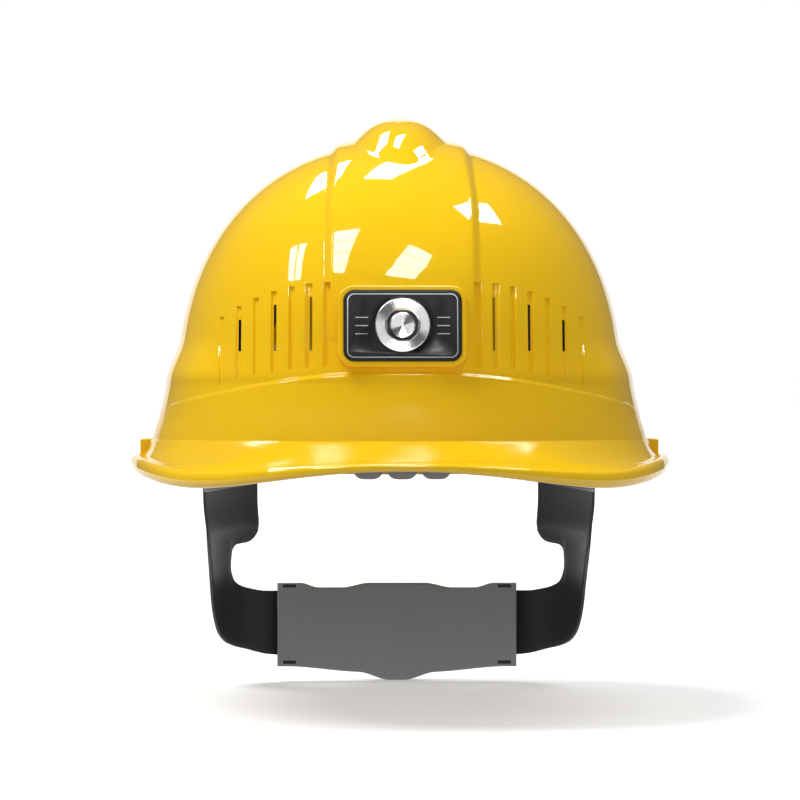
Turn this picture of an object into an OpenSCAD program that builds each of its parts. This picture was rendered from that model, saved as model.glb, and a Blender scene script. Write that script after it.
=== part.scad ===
// Safety helmet: a moulded shell with a front peak, a six point webbing cradle,
// a two part headband and a nape ratchet. Millimetres, +Z up, the front faces -Y.
// The origin is the middle of the head opening, in the plane just under the rim.
// Angles round the helmet start at the front and turn towards +X.

/* [Dome] */
// Half width of the dome at its base
dome_half_w = 90.4; // [87:0.1:93]
// Length of the dome ahead of the crown
dome_front = 108; // [106:0.5:112]
// Length of the dome behind the crown
dome_rear = 112; // [110:0.5:116]
// Level of the dome's base
dome_base_z = 42; // [40:0.5:44]
// Rise of the dome above its base
dome_h = 98.6; // [96:0.1:104]
// Roundness of the dome's profile
dome_power = 2.15; // [2.05:0.05:2.3]
// Roundness of the dome seen from above
plan_power = 2.2; // [2.1:0.05:2.4]
// Thickness of the moulded wall
wall = 2.8; // [2.2:0.1:3.2]
// Step outwards at the foot of the dome
flare = 4.7; // [3.5:0.1:5.5]

/* [Front features] */
// Half width of the raised centre band
band_half_w = 28.4; // [26:0.2:31]
// Height of the centre band above the dome
band_rise = 2; // [1.2:0.1:2.6]
// Half width of the crown bump
bump_half_w = 18.5; // [16:0.5:21]
// Half length of the crown bump
bump_half_l = 48; // [42:1:52]
// Height of the crown bump above the band
bump_h = 7.4; // [6:0.2:9]
// Height of the forehead panel above the dome
panel_rise = 1.3; // [0.8:0.1:1.8]
// Level of the forehead panel's top edge in the middle
panel_top_z = 46; // [44:0.5:47]
// Louvres on each side of the badge
louvre_count = 7; // [4:1:7]
// Distance between louvres
louvre_pitch = 6.95; // [6.4:0.05:7.2]
// Width of a louvre's groove
louvre_w = 2.4; // [1.8:0.1:3]

/* [Peak and rim] */
// How far the rim stands out from the dome at the sides
rim_reach = 18.8; // [18.2:0.2:23]
// Reach of the peak ahead of the crown
peak_reach = 160; // [152:1:168]
// Reach of the rim behind the crown
rim_rear = 127; // [125:0.5:132]
// Level where the peak leaves the dome
peak_root_z = 20; // [19:0.2:21.6]
// Thickness of the lip in the middle of the peak
lip_t = 3; // [2.6:0.1:3.6]
// Thickness of the lip where the peak turns into the rim
lip_corner_t = 7; // [6:0.2:8]

/* [Accessory slots] */
// Length of the accessory slot along the rim
slot_l = 31; // [29:0.5:33]
// Width of the accessory slot
slot_w = 5.2; // [4.8:0.1:5.6]
// Distance of the slot's middle behind the crown
slot_y = 14; // [8:1:20]

/* [Badge] */
// Width of the badge plate
badge_w = 45; // [40:0.5:48]
// Height of the badge plate
badge_h = 27.8; // [25:0.2:29]
// Thickness of the badge plate
badge_t = 1.6; // [1.2:0.1:2]
// Level of the badge's middle
badge_z = 64; // [62:0.5:66]
// Diameter of the metal medallion
medallion_d = 21.4; // [18:0.2:24]
// Diameter of the medallion's button
button_d = 10; // [8:0.2:11]

/* [Cradle] */
// Gap at the sides between the dome and the headband's rear wings
loop_gap = 8.3; // [7.4:0.1:10.4]
// Half length over the headband's rear wings
loop_half_l = 100.1; // [98:0.1:102]
// Angle of the front hanger keys from the front
front_key_angle = 52; // [48:1:56]
// Angle of the rear hanger keys from the front
rear_key_angle = 126; // [122:1:127]
// Width of a hanger key
key_w = 20; // [17:0.5:22]
// Thickness of a hanger key
key_t = 2.4; // [2:0.1:2.8]
// Width of the crown straps
strap_w = 19; // [16:0.5:20]
// Thickness of the crown straps
strap_t = 1.2; // [1:0.1:1.4]
// Level of the lowest crown strap over the head
strap_top_z = 106; // [102:0.5:110]

/* [Headband] */
// Thickness of the headband and its wings
band_t = 1.8; // [1.6:0.1:2]
// Thickness of the brow pad
pad_t = 3.4; // [2.6:0.1:4]
// Pitch of the brow pad's lobes
lobe_pitch = 17.4; // [15:0.2:20]

/* [Nape ratchet] */
// Distance of the ratchet's front face behind the crown
nape_y = 100; // [98:0.5:102]
// Half width of the nape cover
cover_half_w = 52; // [50:0.5:54]
// Level of the straps' upper edge
strap_hi_z = -47.4; // [-48:0.2:-46]
// Height of the ratchet straps
ratchet_strap_h = 28.2; // [27:0.2:30]
// Thickness of a ratchet strap
rack_t = 1.6; // [1.2:0.1:2]
// Teeth of the pinion
pinion_teeth = 15; // [13:2:17]
// Module of the teeth
tooth_module = 0.8; // [0.7:0.05:0.9]
// Travel of each ratchet strap from the middle of its range
rack_travel = 18; // [14:0.5:18]
// Diameter of the knob
knob_d = 41; // [38:0.5:42]
// Depth of the knob
knob_l = 12; // [10:0.5:14]
// Diameter of the knob's shaft
shaft_d = 7; // [6:0.1:8]

/* [Hidden] */

// Colours
yellow = [0.96, 0.76, 0.03];
charcoal = [0.2, 0.2, 0.21];
mid_grey = [0.38, 0.38, 0.38];
pale_grey = [0.55, 0.55, 0.56];
metal = [0.78, 0.78, 0.78];
webbing = [0.13, 0.13, 0.14];

// Smoothness
ring_steps = 56;
dome_steps = [0, 2.5, 5, 8, 14, 21, 28, 36, 44, 52, 60, 68, 76, 84];
inner_steps = [0, 4, 8, 20, 34, 48, 62, 76];
part_fn = 48;
hull_fn = 16;

// Clearances and seats
fit_gap = 0.3;
shaft_gap = 0.05;
slip_gap = 0.2;
lap_gap = 0.5;
embed = 3;

// Levels of the rings below the dome's base
foot_z = 16;
foot_levels = [foot_z, 20.4, 24, 29, 36];
open_z = -12;
inner_levels = [open_z, foot_z, 29];

// Flare: its levels at the sides, and the angles where the front gives way to the side
flare_low_z = 42.5;
flare_high_z = 61;
flare_front_z = 60;
front_end_angle = 44;
side_start_angle = 62;
draft = 0.21;
foot_out = 0.8;
foot_out_z = 30;

// Widths that follow the dome's
rim_half_w = dome_half_w + rim_reach;
loop_half_w = dome_half_w - loop_gap;

// Maths shared by the shapes
function clamp01(v) = min(1, max(0, v));
function ease(v) = let(c = clamp01(v)) c * c * (3 - 2 * c);
function mix(a, b, t) = a + (b - a) * t;
function signed_pow(v, p) = sign(v) * pow(abs(v), p);
function from_front(angle) = abs((angle + 540) % 360 - 180);
function oval(angle, half_w, front, rear, power) = [
    half_w * signed_pow(sin(angle), 2 / power),
    -(cos(angle) > 0 ? front : rear) * signed_pow(cos(angle), 2 / power)
];

// How far the skirt stands out from the dome's own curve
function flare_at(z, angle) =
    let(side = ease((from_front(angle) - front_end_angle) / (side_start_angle - front_end_angle)),
        front_part = 1 - ease((z - foot_z) / (flare_front_z - foot_z)),
        side_part = 1 - ease((z - flare_low_z) / (flare_high_z - flare_low_z)))
    flare * mix(front_part, side_part, side) + draft * max(0, dome_base_z - z)
        + foot_out * side * ease((foot_out_z - z) / 10);

// Share of the dome's plan size that is left at a level
function shrink_at(z, off) =
    z <= dome_base_z ? 1
    : pow(max(0, 1 - pow((z - dome_base_z) / (dome_h + off), dome_power)), 1 / dome_power);

function dome_point(angle, z, share, off) =
    let(out = flare_at(z, angle),
        p = oval(angle, (dome_half_w + off) * share + out, (dome_front + off) * share + out,
            (dome_rear + off) * share + out, plan_power))
    [p[0], p[1], z];

// Front surface at a place seen from the front
function front_y(x, z, off) =
    let(share = shrink_at(z, off),
        angle = asin(min(1, pow(abs(x) / dome_half_w, plan_power / 2))),
        out = flare_at(z, angle),
        half_w = (dome_half_w + off) * share + out,
        front = (dome_front + off) * share + out)
    -front * pow(max(0, 1 - pow(abs(x) / half_w, plan_power)), 1 / plan_power);

// Top surface at a place seen from above
function top_z(x, y, off) =
    let(reach = (y < 0 ? dome_front : dome_rear) + off,
        r = pow(pow(abs(x) / (dome_half_w + off), plan_power) + pow(abs(y) / reach, plan_power),
            1 / plan_power))
    dome_base_z + (dome_h + off) * pow(max(0, 1 - pow(r, dome_power)), 1 / dome_power);

// Middle of a list of points
function middle(points, i = 0) =
    i == len(points) ? [0, 0, 0] : points[i] / len(points) + middle(points, i + 1);

// Closed skin over rings of points: each ring has the same count, the ends are closed by fans
module loft(rings) {
    n = len(rings[0]);
    m = len(rings);
    first = m * n;
    polyhedron(
        points = concat([for (ring = rings, p = ring) p], [middle(rings[0]), middle(rings[m - 1])]),
        faces = concat(
            [for (j = [0:m - 2], i = [0:n - 1]) [j * n + i, (j + 1) * n + (i + 1) % n, j * n + (i + 1) % n]],
            [for (j = [0:m - 2], i = [0:n - 1]) [j * n + i, (j + 1) * n + i, (j + 1) * n + (i + 1) % n]],
            [for (i = [0:n - 1]) [first, i, (i + 1) % n]],
            [for (i = [0:n - 1]) [first + 1, (m - 1) * n + (i + 1) % n, (m - 1) * n + i]]
        )
    );
}

// Closed skin of a loop of sections: the last section joins the first
module loop_loft(sections) {
    n = len(sections[0]);
    m = len(sections);
    polyhedron(
        points = [for (section = sections, p = section) p],
        faces = concat(
            [for (j = [0:m - 1], i = [0:n - 1])
                [j * n + i, j * n + (i + 1) % n, ((j + 1) % m) * n + (i + 1) % n]],
            [for (j = [0:m - 1], i = [0:n - 1])
                [j * n + i, ((j + 1) % m) * n + (i + 1) % n, ((j + 1) % m) * n + i]]
        )
    );
}

// Plate between an outer and an inner grid of points, as a tube of flat sections
module plate(outer, inner) {
    m = len(outer);
    n = len(outer[0]);
    w = 2 * n;
    last = (m - 1) * w;
    polyhedron(
        points = [for (i = [0:m - 1]) each concat(outer[i], [for (j = [0:n - 1]) inner[i][n - 1 - j]])],
        faces = concat(
            [for (j = [0:m - 2], i = [0:w - 1]) [j * w + i, (j + 1) * w + (i + 1) % w, j * w + (i + 1) % w]],
            [for (j = [0:m - 2], i = [0:w - 1]) [j * w + i, (j + 1) * w + i, (j + 1) * w + (i + 1) % w]],
            [for (i = [0:n - 2]) each [[i, i + 1, w - 1 - i], [i + 1, w - 2 - i, w - 1 - i]]],
            [for (i = [0:n - 2]) each [
                [last + i + 1, last + i, last + w - 1 - i],
                [last + w - 2 - i, last + i + 1, last + w - 1 - i]
            ]]
        )
    );
}

// Dome
function dome_rings(off, levels, steps) = concat(
    [for (z = levels) [for (i = [0:ring_steps - 1]) dome_point(i * 360 / ring_steps, z, 1, off)]],
    [for (t = steps)
        let(z = dome_base_z + (dome_h + off) * pow(sin(t), 2 / dome_power),
            share = pow(cos(t), 2 / dome_power))
        [for (i = [0:ring_steps - 1]) dome_point(i * 360 / ring_steps, z, share, off)]]
);

module dome(off, levels, steps) {
    loft(dome_rings(off, levels, steps));
}

module dome_cavity() {
    dome(-wall, inner_levels, inner_steps);
}

// Raised centre band over the crown, from above the badge to the rear
module centre_band() {
    intersection() {
        dome(band_rise, [dome_base_z - 1], dome_steps);
        union() {
            translate([-band_half_w, -dome_front - embed, band_front_z])
                cube([2 * band_half_w, dome_front + embed, dome_h]);
            translate([-band_half_w, -1, band_rear_z])
                cube([2 * band_half_w, dome_rear + embed, dome_h]);
        }
    }
}
band_front_z = badge_z - 4;
band_rear_z = 60;

// Bump on the crown
bump_y = -13;
bump_rings = 6;
bump_ring_steps = 36;
function bump_rise(r) = bump_h * pow(max(0, 1 - pow(r, 2.6)), 1.15);
function bump_point(r, angle, lift) =
    let(x = bump_half_w * r * sin(angle), y = bump_y - bump_half_l * r * cos(angle))
    [x, y, top_z(x, y, band_rise) + (lift ? bump_rise(r) - 0.02 : -embed)];

module crown_bump() {
    loft(concat(
        [[for (i = [0:bump_ring_steps - 1]) bump_point(1, i * 360 / bump_ring_steps, false)]],
        [for (j = [0:bump_rings - 1])
            [for (i = [0:bump_ring_steps - 1])
                bump_point(1 - j / bump_rings, i * 360 / bump_ring_steps, true)]]
    ));
}

// Forehead panel, cut from a slightly larger dome by its outline seen from the front
panel_half_w = dome_half_w + 1.6;
panel_drop = 13;
panel_corner_r = 5;
panel_points = 12;
function panel_edge_z(x) = panel_top_z - panel_drop * pow(abs(x) / panel_half_w, 2.2);

module forehead_panel() {
    intersection() {
        dome(panel_rise, foot_levels, [0, 2.5, 5]);
        rotate([90, 0, 0])
            linear_extrude(dome_front + 2 * embed)
                offset(r = panel_corner_r, $fn = hull_fn)
                    offset(delta = -panel_corner_r)
                        polygon(concat(
                            [for (side = [1, -1]) [side * panel_half_w, foot_z - panel_corner_r]],
                            [for (i = [-panel_points:panel_points])
                                let(x = i * panel_half_w / panel_points) [x, panel_edge_z(x)]]
                        ));
    }
}

// Peak and rim: levels of the lip's middle and its thickness at angles from the front
lip_angles = [0, 44, 84, 140, 180];
lip_levels = [10.6, 5.6, 10.8, 6, 5];
lip_sizes = [lip_t, lip_corner_t, 6, 4.4, 4.4];
rim_power = 2.3;
rear_root_z = 17;
root_drop = 4;
rear_root_start = 80;
rear_root_end = 150;

function eased(angle, list) =
    let(a = from_front(angle),
        i = a >= lip_angles[3] ? 3 : a >= lip_angles[2] ? 2 : a >= lip_angles[1] ? 1 : 0)
    mix(list[i], list[i + 1], ease((a - lip_angles[i]) / (lip_angles[i + 1] - lip_angles[i])));

function rear_share(angle) = ease((from_front(angle) - rear_root_start) / (rear_root_end - rear_root_start));

function rim_section(angle) =
    let(rear = rear_share(angle),
        root_z = mix(peak_root_z, rear_root_z, rear),
        inner = dome_point(angle, root_z, 1, 0.3 - wall),
        outer = dome_point(angle, root_z, 1, -0.5),
        lip = oval(angle, rim_half_w, peak_reach, rim_rear, rim_power),
        under = [mix(inner[0], lip[0], 0.45 * rear), mix(inner[1], lip[1], 0.45 * rear)],
        lip_z = eased(angle, lip_levels),
        half_t = eased(angle, lip_sizes) / 2,
        size = norm(lip),
        in_by = function(d) [lip[0] * (1 - d / size), lip[1] * (1 - d / size)],
        shelf = [mix(outer[0], lip[0], 0.5), mix(outer[1], lip[1], 0.5)])
    [
        [inner[0], inner[1], root_z + 3],
        [inner[0], inner[1], root_z - root_drop],
        [under[0], under[1], mix(root_z - root_drop, lip_z - half_t + 3, rear)],
        [in_by(half_t * 1.6)[0], in_by(half_t * 1.6)[1], lip_z - half_t],
        [in_by(half_t * 0.35)[0], in_by(half_t * 0.35)[1], lip_z - half_t * 0.72],
        [lip[0], lip[1], lip_z],
        [in_by(half_t * 0.35)[0], in_by(half_t * 0.35)[1], lip_z + half_t * 0.72],
        [in_by(half_t * 1.6)[0], in_by(half_t * 1.6)[1], lip_z + half_t],
        [shelf[0], shelf[1], mix(root_z, lip_z + half_t, 0.55)],
        [outer[0], outer[1], root_z],
        [mix(inner[0], outer[0], 0.6), mix(inner[1], outer[1], 0.6), root_z + 3]
    ];

module peak_and_rim() {
    loop_loft([for (i = [0:ring_steps - 1]) rim_section(i * 360 / ring_steps)]);
}

// Side slot housings for clip-in accessories: a block on the skirt, open below
slot_in_x = dome_half_w + 9;
slot_roof_z = 17.4;
slot_wall = 2.4;
slot_block_top_z = 19.8;
slot_block_low_z = 7;
slot_block_l = slot_l + 2 * slot_wall;

module slot_block() {
    hull() {
        translate([slot_in_x - slot_wall, slot_y - slot_block_l / 2, slot_block_top_z - 1])
            cube([slot_w + slot_wall + 1, slot_block_l, 1]);
        translate([slot_in_x - slot_wall, slot_y - slot_block_l / 2, slot_block_low_z])
            cube([slot_w + 2 * slot_wall, slot_block_l, 1]);
    }
}

module slot_cut() {
    translate([slot_in_x, slot_y - slot_l / 2, open_z])
        cube([slot_w, slot_l, slot_roof_z - open_z]);
}

// Raised frame round the badge, square to the dome at the badge's middle
frame_border = 2.1;
frame_proud = 1.6;
badge_r = 4;
badge_seat = 1;
badge_y = front_y(0, badge_z, 0) - frame_proud;
badge_tilt = atan2(front_y(0, badge_z + 12, 0) - front_y(0, badge_z - 12, 0), 24);

module at_badge() {
    translate([0, badge_y, badge_z])
        rotate([90 - badge_tilt, 0, 0])
            children();
}

module rounded_plate(w, h, t, r) {
    linear_extrude(t)
        translate([-w / 2, -h / 2])
            rounded_outline(w, h, r);
}

module rounded_outline(w, h, r) {
    union() {
        translate([r, 0])
            square([w - 2 * r, h]);
        translate([0, r])
            square([w, h - 2 * r]);
        for (x = [r, w - r], y = [r, h - r])
            translate([x, y])
                circle(r, $fn = part_fn);
    }
}

module badge_frame() {
    at_badge()
        translate([0, 0, -9])
            rounded_plate(badge_w + 2 * frame_border, badge_h + 2 * frame_border, 9, badge_r + frame_border);
}

module badge_pocket() {
    at_badge()
        translate([0, 0, -badge_seat])
            rounded_plate(badge_w + 2 * slip_gap, badge_h + 2 * slip_gap, 4, badge_r + slip_gap);
}

// Louvres: grooves that follow the dome, every second one slit through the wall
louvre_depth = 1.2;
louvre_first_x = band_half_w + 0.4;
louvre_out = 3;
louvre_shares = [0, 0.05, 0.35, 0.65, 0.95, 1];
slit_w = 1.1;
slit_low_z = badge_z - 9.5;
slit_short = 5.2;
function louvre_x(i) = louvre_first_x + i * louvre_pitch;
function louvre_top(i) = badge_z + 16.8 - 0.35 * i * i;
function louvre_low(i) = badge_z - 15.8 - 0.1 * i - 0.17 * i * i;
function slit_top(i) = louvre_top(i) - slit_short;

function groove_section(x, z, depth) =
    let(y = front_y(x, z, 0), half = louvre_w / 2)
    [
        [x - half, y - louvre_out, z], [x + half, y - louvre_out, z], [x + half, y + 0.1, z],
        [x + half / 2, y + depth, z], [x - half / 2, y + depth, z], [x - half, y + 0.1, z]
    ];

module louvre_groove(i) {
    loft([for (share = louvre_shares)
        groove_section(louvre_x(i), mix(louvre_low(i), louvre_top(i), share),
            share == 0 || share == 1 ? 0.2 : louvre_depth)]);
}

module louvre_slit(i) {
    x = louvre_x(i) - louvre_w / 2 + slit_w / 2;
    y = front_y(x, (slit_low_z + slit_top(i)) / 2, 0);
    translate([x - slit_w / 2, y - 8, slit_low_z])
        cube([slit_w, 18, slit_top(i) - slit_low_z]);
}

module louvres() {
    for (side = [0, 1])
        mirror([side, 0, 0]) {
            for (i = [0:louvre_count - 1])
                louvre_groove(i);
            for (i = [1:2:louvre_count - 2])
                louvre_slit(i);
        }
}

// Places on the headband's loop, seen from above
function loop_point(angle, off) = oval(angle, loop_half_w + off, loop_half_l + off, loop_half_l + off, 2);
function loop_normal(angle) = atan2(-cos(angle) / loop_half_l, sin(angle) / loop_half_w);

module at_key(angle) {
    p = loop_point(angle, 0);
    translate([p[0], p[1], 0])
        rotate([0, 0, loop_normal(angle)])
            children();
}

key_angles = [front_key_angle, 90, rear_key_angle];

// Key sockets inside the shell
tongue_u = 6;
tongue_low_z = 32;
tongue_top_z = 46;
socket_wall = 2;
socket_reach = 12;
stud_z = 13;
stud_d = 6;

module key_socket() {
    w = key_w + 2 * (fit_gap + socket_wall);
    translate([tongue_u - fit_gap - socket_wall, 0, tongue_low_z + 1])
        hull() {
            translate([0, -w / 2 + 1, 0])
                cube([socket_reach, w - 2, tongue_top_z - tongue_low_z - 0.6]);
            translate([1, -w / 2, 1])
                cube([socket_reach - 1, w, tongue_top_z - tongue_low_z + 0.4]);
        }
}

module key_pocket() {
    translate([tongue_u - fit_gap, -key_w / 2 - fit_gap, tongue_low_z - 8])
        cube([key_t + 2 * fit_gap, key_w + 2 * fit_gap, tongue_top_z - tongue_low_z + 8 + fit_gap]);
}

module each_key() {
    for (side = [0, 1])
        mirror([side, 0, 0])
            for (angle = key_angles)
                at_key(angle)
                    children();
}

module shell() {
    color(yellow)
        difference() {
            union() {
                difference() {
                    union() {
                        dome(0, foot_levels, dome_steps);
                        centre_band();
                        crown_bump();
                        forehead_panel();
                        badge_frame();
                        slot_block();
                        mirror([1, 0, 0])
                            slot_block();
                    }
                    dome_cavity();
                }
                peak_and_rim();
                intersection() {
                    dome(-1, foot_levels, inner_steps);
                    each_key()
                        key_socket();
                }
                for (side = [0, 1])
                    mirror([side, 0, 0])
                        slot_block();
            }
            each_key()
                key_pocket();
            for (side = [0, 1])
                mirror([side, 0, 0])
                    slot_cut();
            badge_pocket();
            louvres();
        }
}

// Badge and medallion
medallion_rise = 1.4;
medallion_inner_d = button_d + 1.8;

module badge_plate() {
    color([0.16, 0.17, 0.18])
        at_badge()
            translate([0, 0, -badge_seat])
                difference() {
                    rounded_plate(badge_w, badge_h, badge_t, badge_r);
                    translate([0, 0, badge_t - 0.4])
                        cylinder(d = medallion_d + 2 * shaft_gap, h = 2, $fn = part_fn);
                }
}

module medallion_ring() {
    color(metal)
        at_badge()
            translate([0, 0, badge_t - badge_seat - 0.4])
                rotate_extrude($fn = part_fn)
                    polygon([
                        [medallion_inner_d / 2, 0], [medallion_d / 2, 0],
                        [medallion_d / 2, medallion_rise - 0.5], [medallion_d / 2 - 0.5, medallion_rise],
                        [medallion_inner_d / 2 + 0.6, medallion_rise - 0.6],
                        [medallion_inner_d / 2, medallion_rise - 1]
                    ]);
}

module medallion_button() {
    color(metal)
        at_badge()
            translate([0, 0, badge_t - badge_seat - 0.4])
                rotate_extrude($fn = part_fn)
                    polygon([
                        [0, 0], [button_d / 2, 0], [button_d / 2, medallion_rise - 0.5],
                        [button_d / 2 - 0.4, medallion_rise - 0.2], [0, medallion_rise - 0.5]
                    ]);
}

// Hanger keys: tongue in the shell's socket, flat foot with a stud for the band
key_low_z = 5;
key_bend_z = 28;
foot_u = 0.4;
head_d = 9;
head_t = 1.2;

module key(angle, pad) {
    foot = foot_u + key_t;
    at_key(angle) {
        rotate([90, 0, 0])
            linear_extrude(key_w, center = true)
                polygon([
                    [foot_u, key_low_z], [foot, key_low_z], [foot, key_bend_z],
                    [tongue_u + key_t, tongue_low_z], [tongue_u + key_t, tongue_top_z],
                    [tongue_u, tongue_top_z], [tongue_u, tongue_low_z + 1], [foot_u, key_bend_z + 1]
                ]);
        translate([foot_u - pad, 0, stud_z])
            rotate([0, 90, 0])
                cylinder(d = head_d, h = pad + 0.5, $fn = part_fn);
        translate([foot_u - pad - stud_l, 0, stud_z])
            rotate([0, 90, 0])
                cylinder(d = stud_d, h = stud_l + 0.5, $fn = part_fn);
        translate([foot_u - pad - stud_l - head_t, 0, stud_z])
            rotate([0, 90, 0])
                cylinder(d = head_d, h = head_t, $fn = part_fn);
    }
}
stud_l = band_t + slip_gap + lap_gap;
front_pad = foot_u + band_t + lap_gap - slip_gap;
rear_pad = foot_u - slip_gap;

module key_front_right() {
    color(charcoal)
        key(key_angles[0], front_pad);
}

module key_side_right() {
    color(charcoal)
        key(key_angles[1], front_pad);
}

module key_rear_right() {
    color(charcoal)
        key(key_angles[2], rear_pad);
}

module key_front_left() {
    mirror([1, 0, 0])
        key_front_right();
}

module key_side_left() {
    mirror([1, 0, 0])
        key_side_right();
}

module key_rear_left() {
    mirror([1, 0, 0])
        key_rear_right();
}

// Crown straps: each runs from a key over the head to the opposite key
strap_low_z = 22;
strap_shoulder_z = 32;
strap_power = 2.3;
strap_layer = strap_t + 2 * fit_gap;
strap_half_steps = 14;
strap_u = foot_u - fit_gap - strap_t / 2;

function strap_profile(top) = concat(
    [[1, strap_low_z]],
    [for (i = [0:strap_half_steps])
        let(t = 90 * i / strap_half_steps, rise = pow(sin(t), 2 / strap_power))
        [pow(cos(t), 2 / strap_power), mix(strap_shoulder_z, top, rise)]]
);

function strap_line(angle, top) =
    let(start = loop_point(angle, strap_u),
        half = strap_profile(top),
        m = len(half))
    concat(
        [for (p = half) [start[0] * p[0], start[1] * p[0], p[1]]],
        [for (i = [1:m - 1]) let(p = half[m - 1 - i]) [-start[0] * p[0], -start[1] * p[0], p[1]]]
    );

function unit(v) = v / norm(v);

module crown_strap(angle, layer) {
    line = strap_line(angle, strap_top_z + layer * strap_layer);
    m = len(line);
    start = loop_point(angle, strap_u);
    across = unit([-start[1], start[0], 0]);
    turn = loop_normal(angle) + 90;
    at_key_across = [cos(turn), sin(turn), 0];
    sections = [for (i = [0:m - 1])
        let(ahead = line[min(m - 1, i + 1)],
            behind = line[max(0, i - 1)],
            along = unit(ahead - behind),
            near_end = ease(1 - min(i, m - 1 - i) / 5),
            wide = unit(mix(across, at_key_across, near_end)),
            out = unit(cross(along, wide)),
            p = line[i])
        [
            p - wide * strap_w / 2 - out * strap_t / 2,
            p + wide * strap_w / 2 - out * strap_t / 2,
            p + wide * strap_w / 2 + out * strap_t / 2,
            p - wide * strap_w / 2 + out * strap_t / 2
        ]];
    loft(sections);
}

module strap_front_right() {
    color(webbing)
        crown_strap(key_angles[0], 0);
}

module strap_side() {
    color(webbing)
        crown_strap(key_angles[1], 1);
}

module strap_front_left() {
    color(webbing)
        crown_strap(-key_angles[0], 2);
}

// Headband: the front half of the band, inside the rear wings' loop
band_end_angle = 105;
band_station = 6;
band_off = -band_t - lap_gap;
headband_low = [8, -2];
headband_high = [38, 24];
function side_share(angle) = ease(from_front(angle) / 90);
function band_low(angle) = mix(headband_low[0], headband_low[1], side_share(angle));
function band_high(angle) = mix(headband_high[0], headband_high[1], side_share(angle));

half_angles = [for (a = [band_station / 2:band_station:band_end_angle]) a];

module headband() {
    angles = concat([for (i = [1:len(half_angles)]) -half_angles[len(half_angles) - i]], half_angles);
    color(charcoal)
        difference() {
            plate(
                [for (a = angles) let(p = loop_point(a, band_off))
                    [[p[0], p[1], band_low(a)], [p[0], p[1], band_high(a)]]],
                [for (a = angles) let(p = loop_point(a, band_off - band_t))
                    [[p[0], p[1], band_low(a)], [p[0], p[1], band_high(a)]]]
            );
            for (side = [0, 1])
                mirror([side, 0, 0]) {
                    for (angle = [key_angles[0], key_angles[1]])
                        at_key(angle)
                            stud_hole();
                    for (z = rivet_levels)
                        at_key(rivet_angle)
                            translate([-2 * embed, 0, z])
                                rotate([0, 90, 0])
                                    cylinder(d = rivet_d + 2 * shaft_gap, h = 4 * embed, $fn = part_fn);
                }
        }
}

module stud_hole() {
    translate([-2 * embed, 0, stud_z])
        rotate([0, 90, 0])
            cylinder(d = stud_d + 2 * shaft_gap, h = 4 * embed, $fn = part_fn);
}

// Rivets that join the headband to the nape arms
rivet_angle = 101;
rivet_d = 4;
rivet_head_d = 7;
rivet_head_t = 0.8;
rivet_in_u = band_off - band_t - slip_gap;
rivet_levels = [4, 16];

module band_rivets() {
    shaft_l = slip_gap + rivet_head_t - rivet_in_u;
    color(charcoal)
        for (side = [0, 1])
            mirror([side, 0, 0])
                at_key(rivet_angle)
                    for (z = rivet_levels)
                        translate([0, 0, z])
                            rotate([0, 90, 0]) {
                                translate([0, 0, slip_gap])
                                    cylinder(d = rivet_head_d, h = rivet_head_t, $fn = part_fn);
                                translate([0, 0, rivet_in_u - rivet_head_t / 2])
                                    cylinder(d = rivet_d, h = shaft_l, $fn = part_fn);
                                translate([0, 0, rivet_in_u - rivet_head_t])
                                    cylinder(d = rivet_head_d, h = rivet_head_t, $fn = part_fn);
                            }
}

// Brow pad: soft band inside the headband, its lower edge cut into lobes
pad_end_angle = 42;
pad_low_z = 5;
pad_high_z = 40;
lobe_notch = 4;
lobe_steps = 6;
lobe_angle = lobe_pitch / loop_half_l * 180 / PI;
pad_off = band_off - band_t - fit_gap;
function lobe_low(angle) = pad_low_z + lobe_notch * pow(abs(sin(180 * angle / lobe_angle + 90)), 10)
    + mix(0, -5, ease(abs(angle) / 90));

module brow_pad() {
    count = floor(pad_end_angle / lobe_angle) * lobe_steps;
    function face(off) = [for (i = [-count:count])
        let(a = i * lobe_angle / lobe_steps, p = loop_point(a, off))
        [[p[0], p[1], lobe_low(a)], [p[0], p[1], pad_high_z]]];
    color(pale_grey)
        plate(face(pad_off), face(pad_off - pad_t));
}

// Nape arms: a wing on the headband's loop that drops into the ratchet strap
nape_power = 4.5;
arm_end_x = 57.3;
rack_gap = fit_gap;
strap_low_edge_z = strap_hi_z - ratchet_strap_h;
arm_morph_z = -18;
arm_morph = 34;
arm_tuck = 1;
arm_tuck_z = -6;
layer_a_y = nape_y + 3.5;
layer_b_y = layer_a_y + rack_t + 2 * slip_gap;
arm_cols = 5;

// Surface of an arm, whose plan grows squarer and longer as it drops to the nape
function arm_share(z) = ease((arm_morph_z - z) / arm_morph);
function arm_point(angle, z, off, end_y) =
    let(share = arm_share(z),
        power = mix(2, nape_power, share),
        rear = mix(loop_half_l, end_y / arm_end_depth, share),
        half_w = loop_half_w - arm_tuck * ease((arm_tuck_z - z) / 14),
        p = oval(angle, half_w + off, loop_half_l + off, rear + off, power))
    [p[0], p[1], z];
function arm_angle(x, power) = 180 - asin(pow(x / (loop_half_w - arm_tuck), power / 2));
arm_end_depth = pow(1 - pow(arm_end_x / (loop_half_w - arm_tuck), nape_power), 1 / nape_power);
wing_angle = 132;
end_angle = arm_angle(arm_end_x, nape_power);

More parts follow.
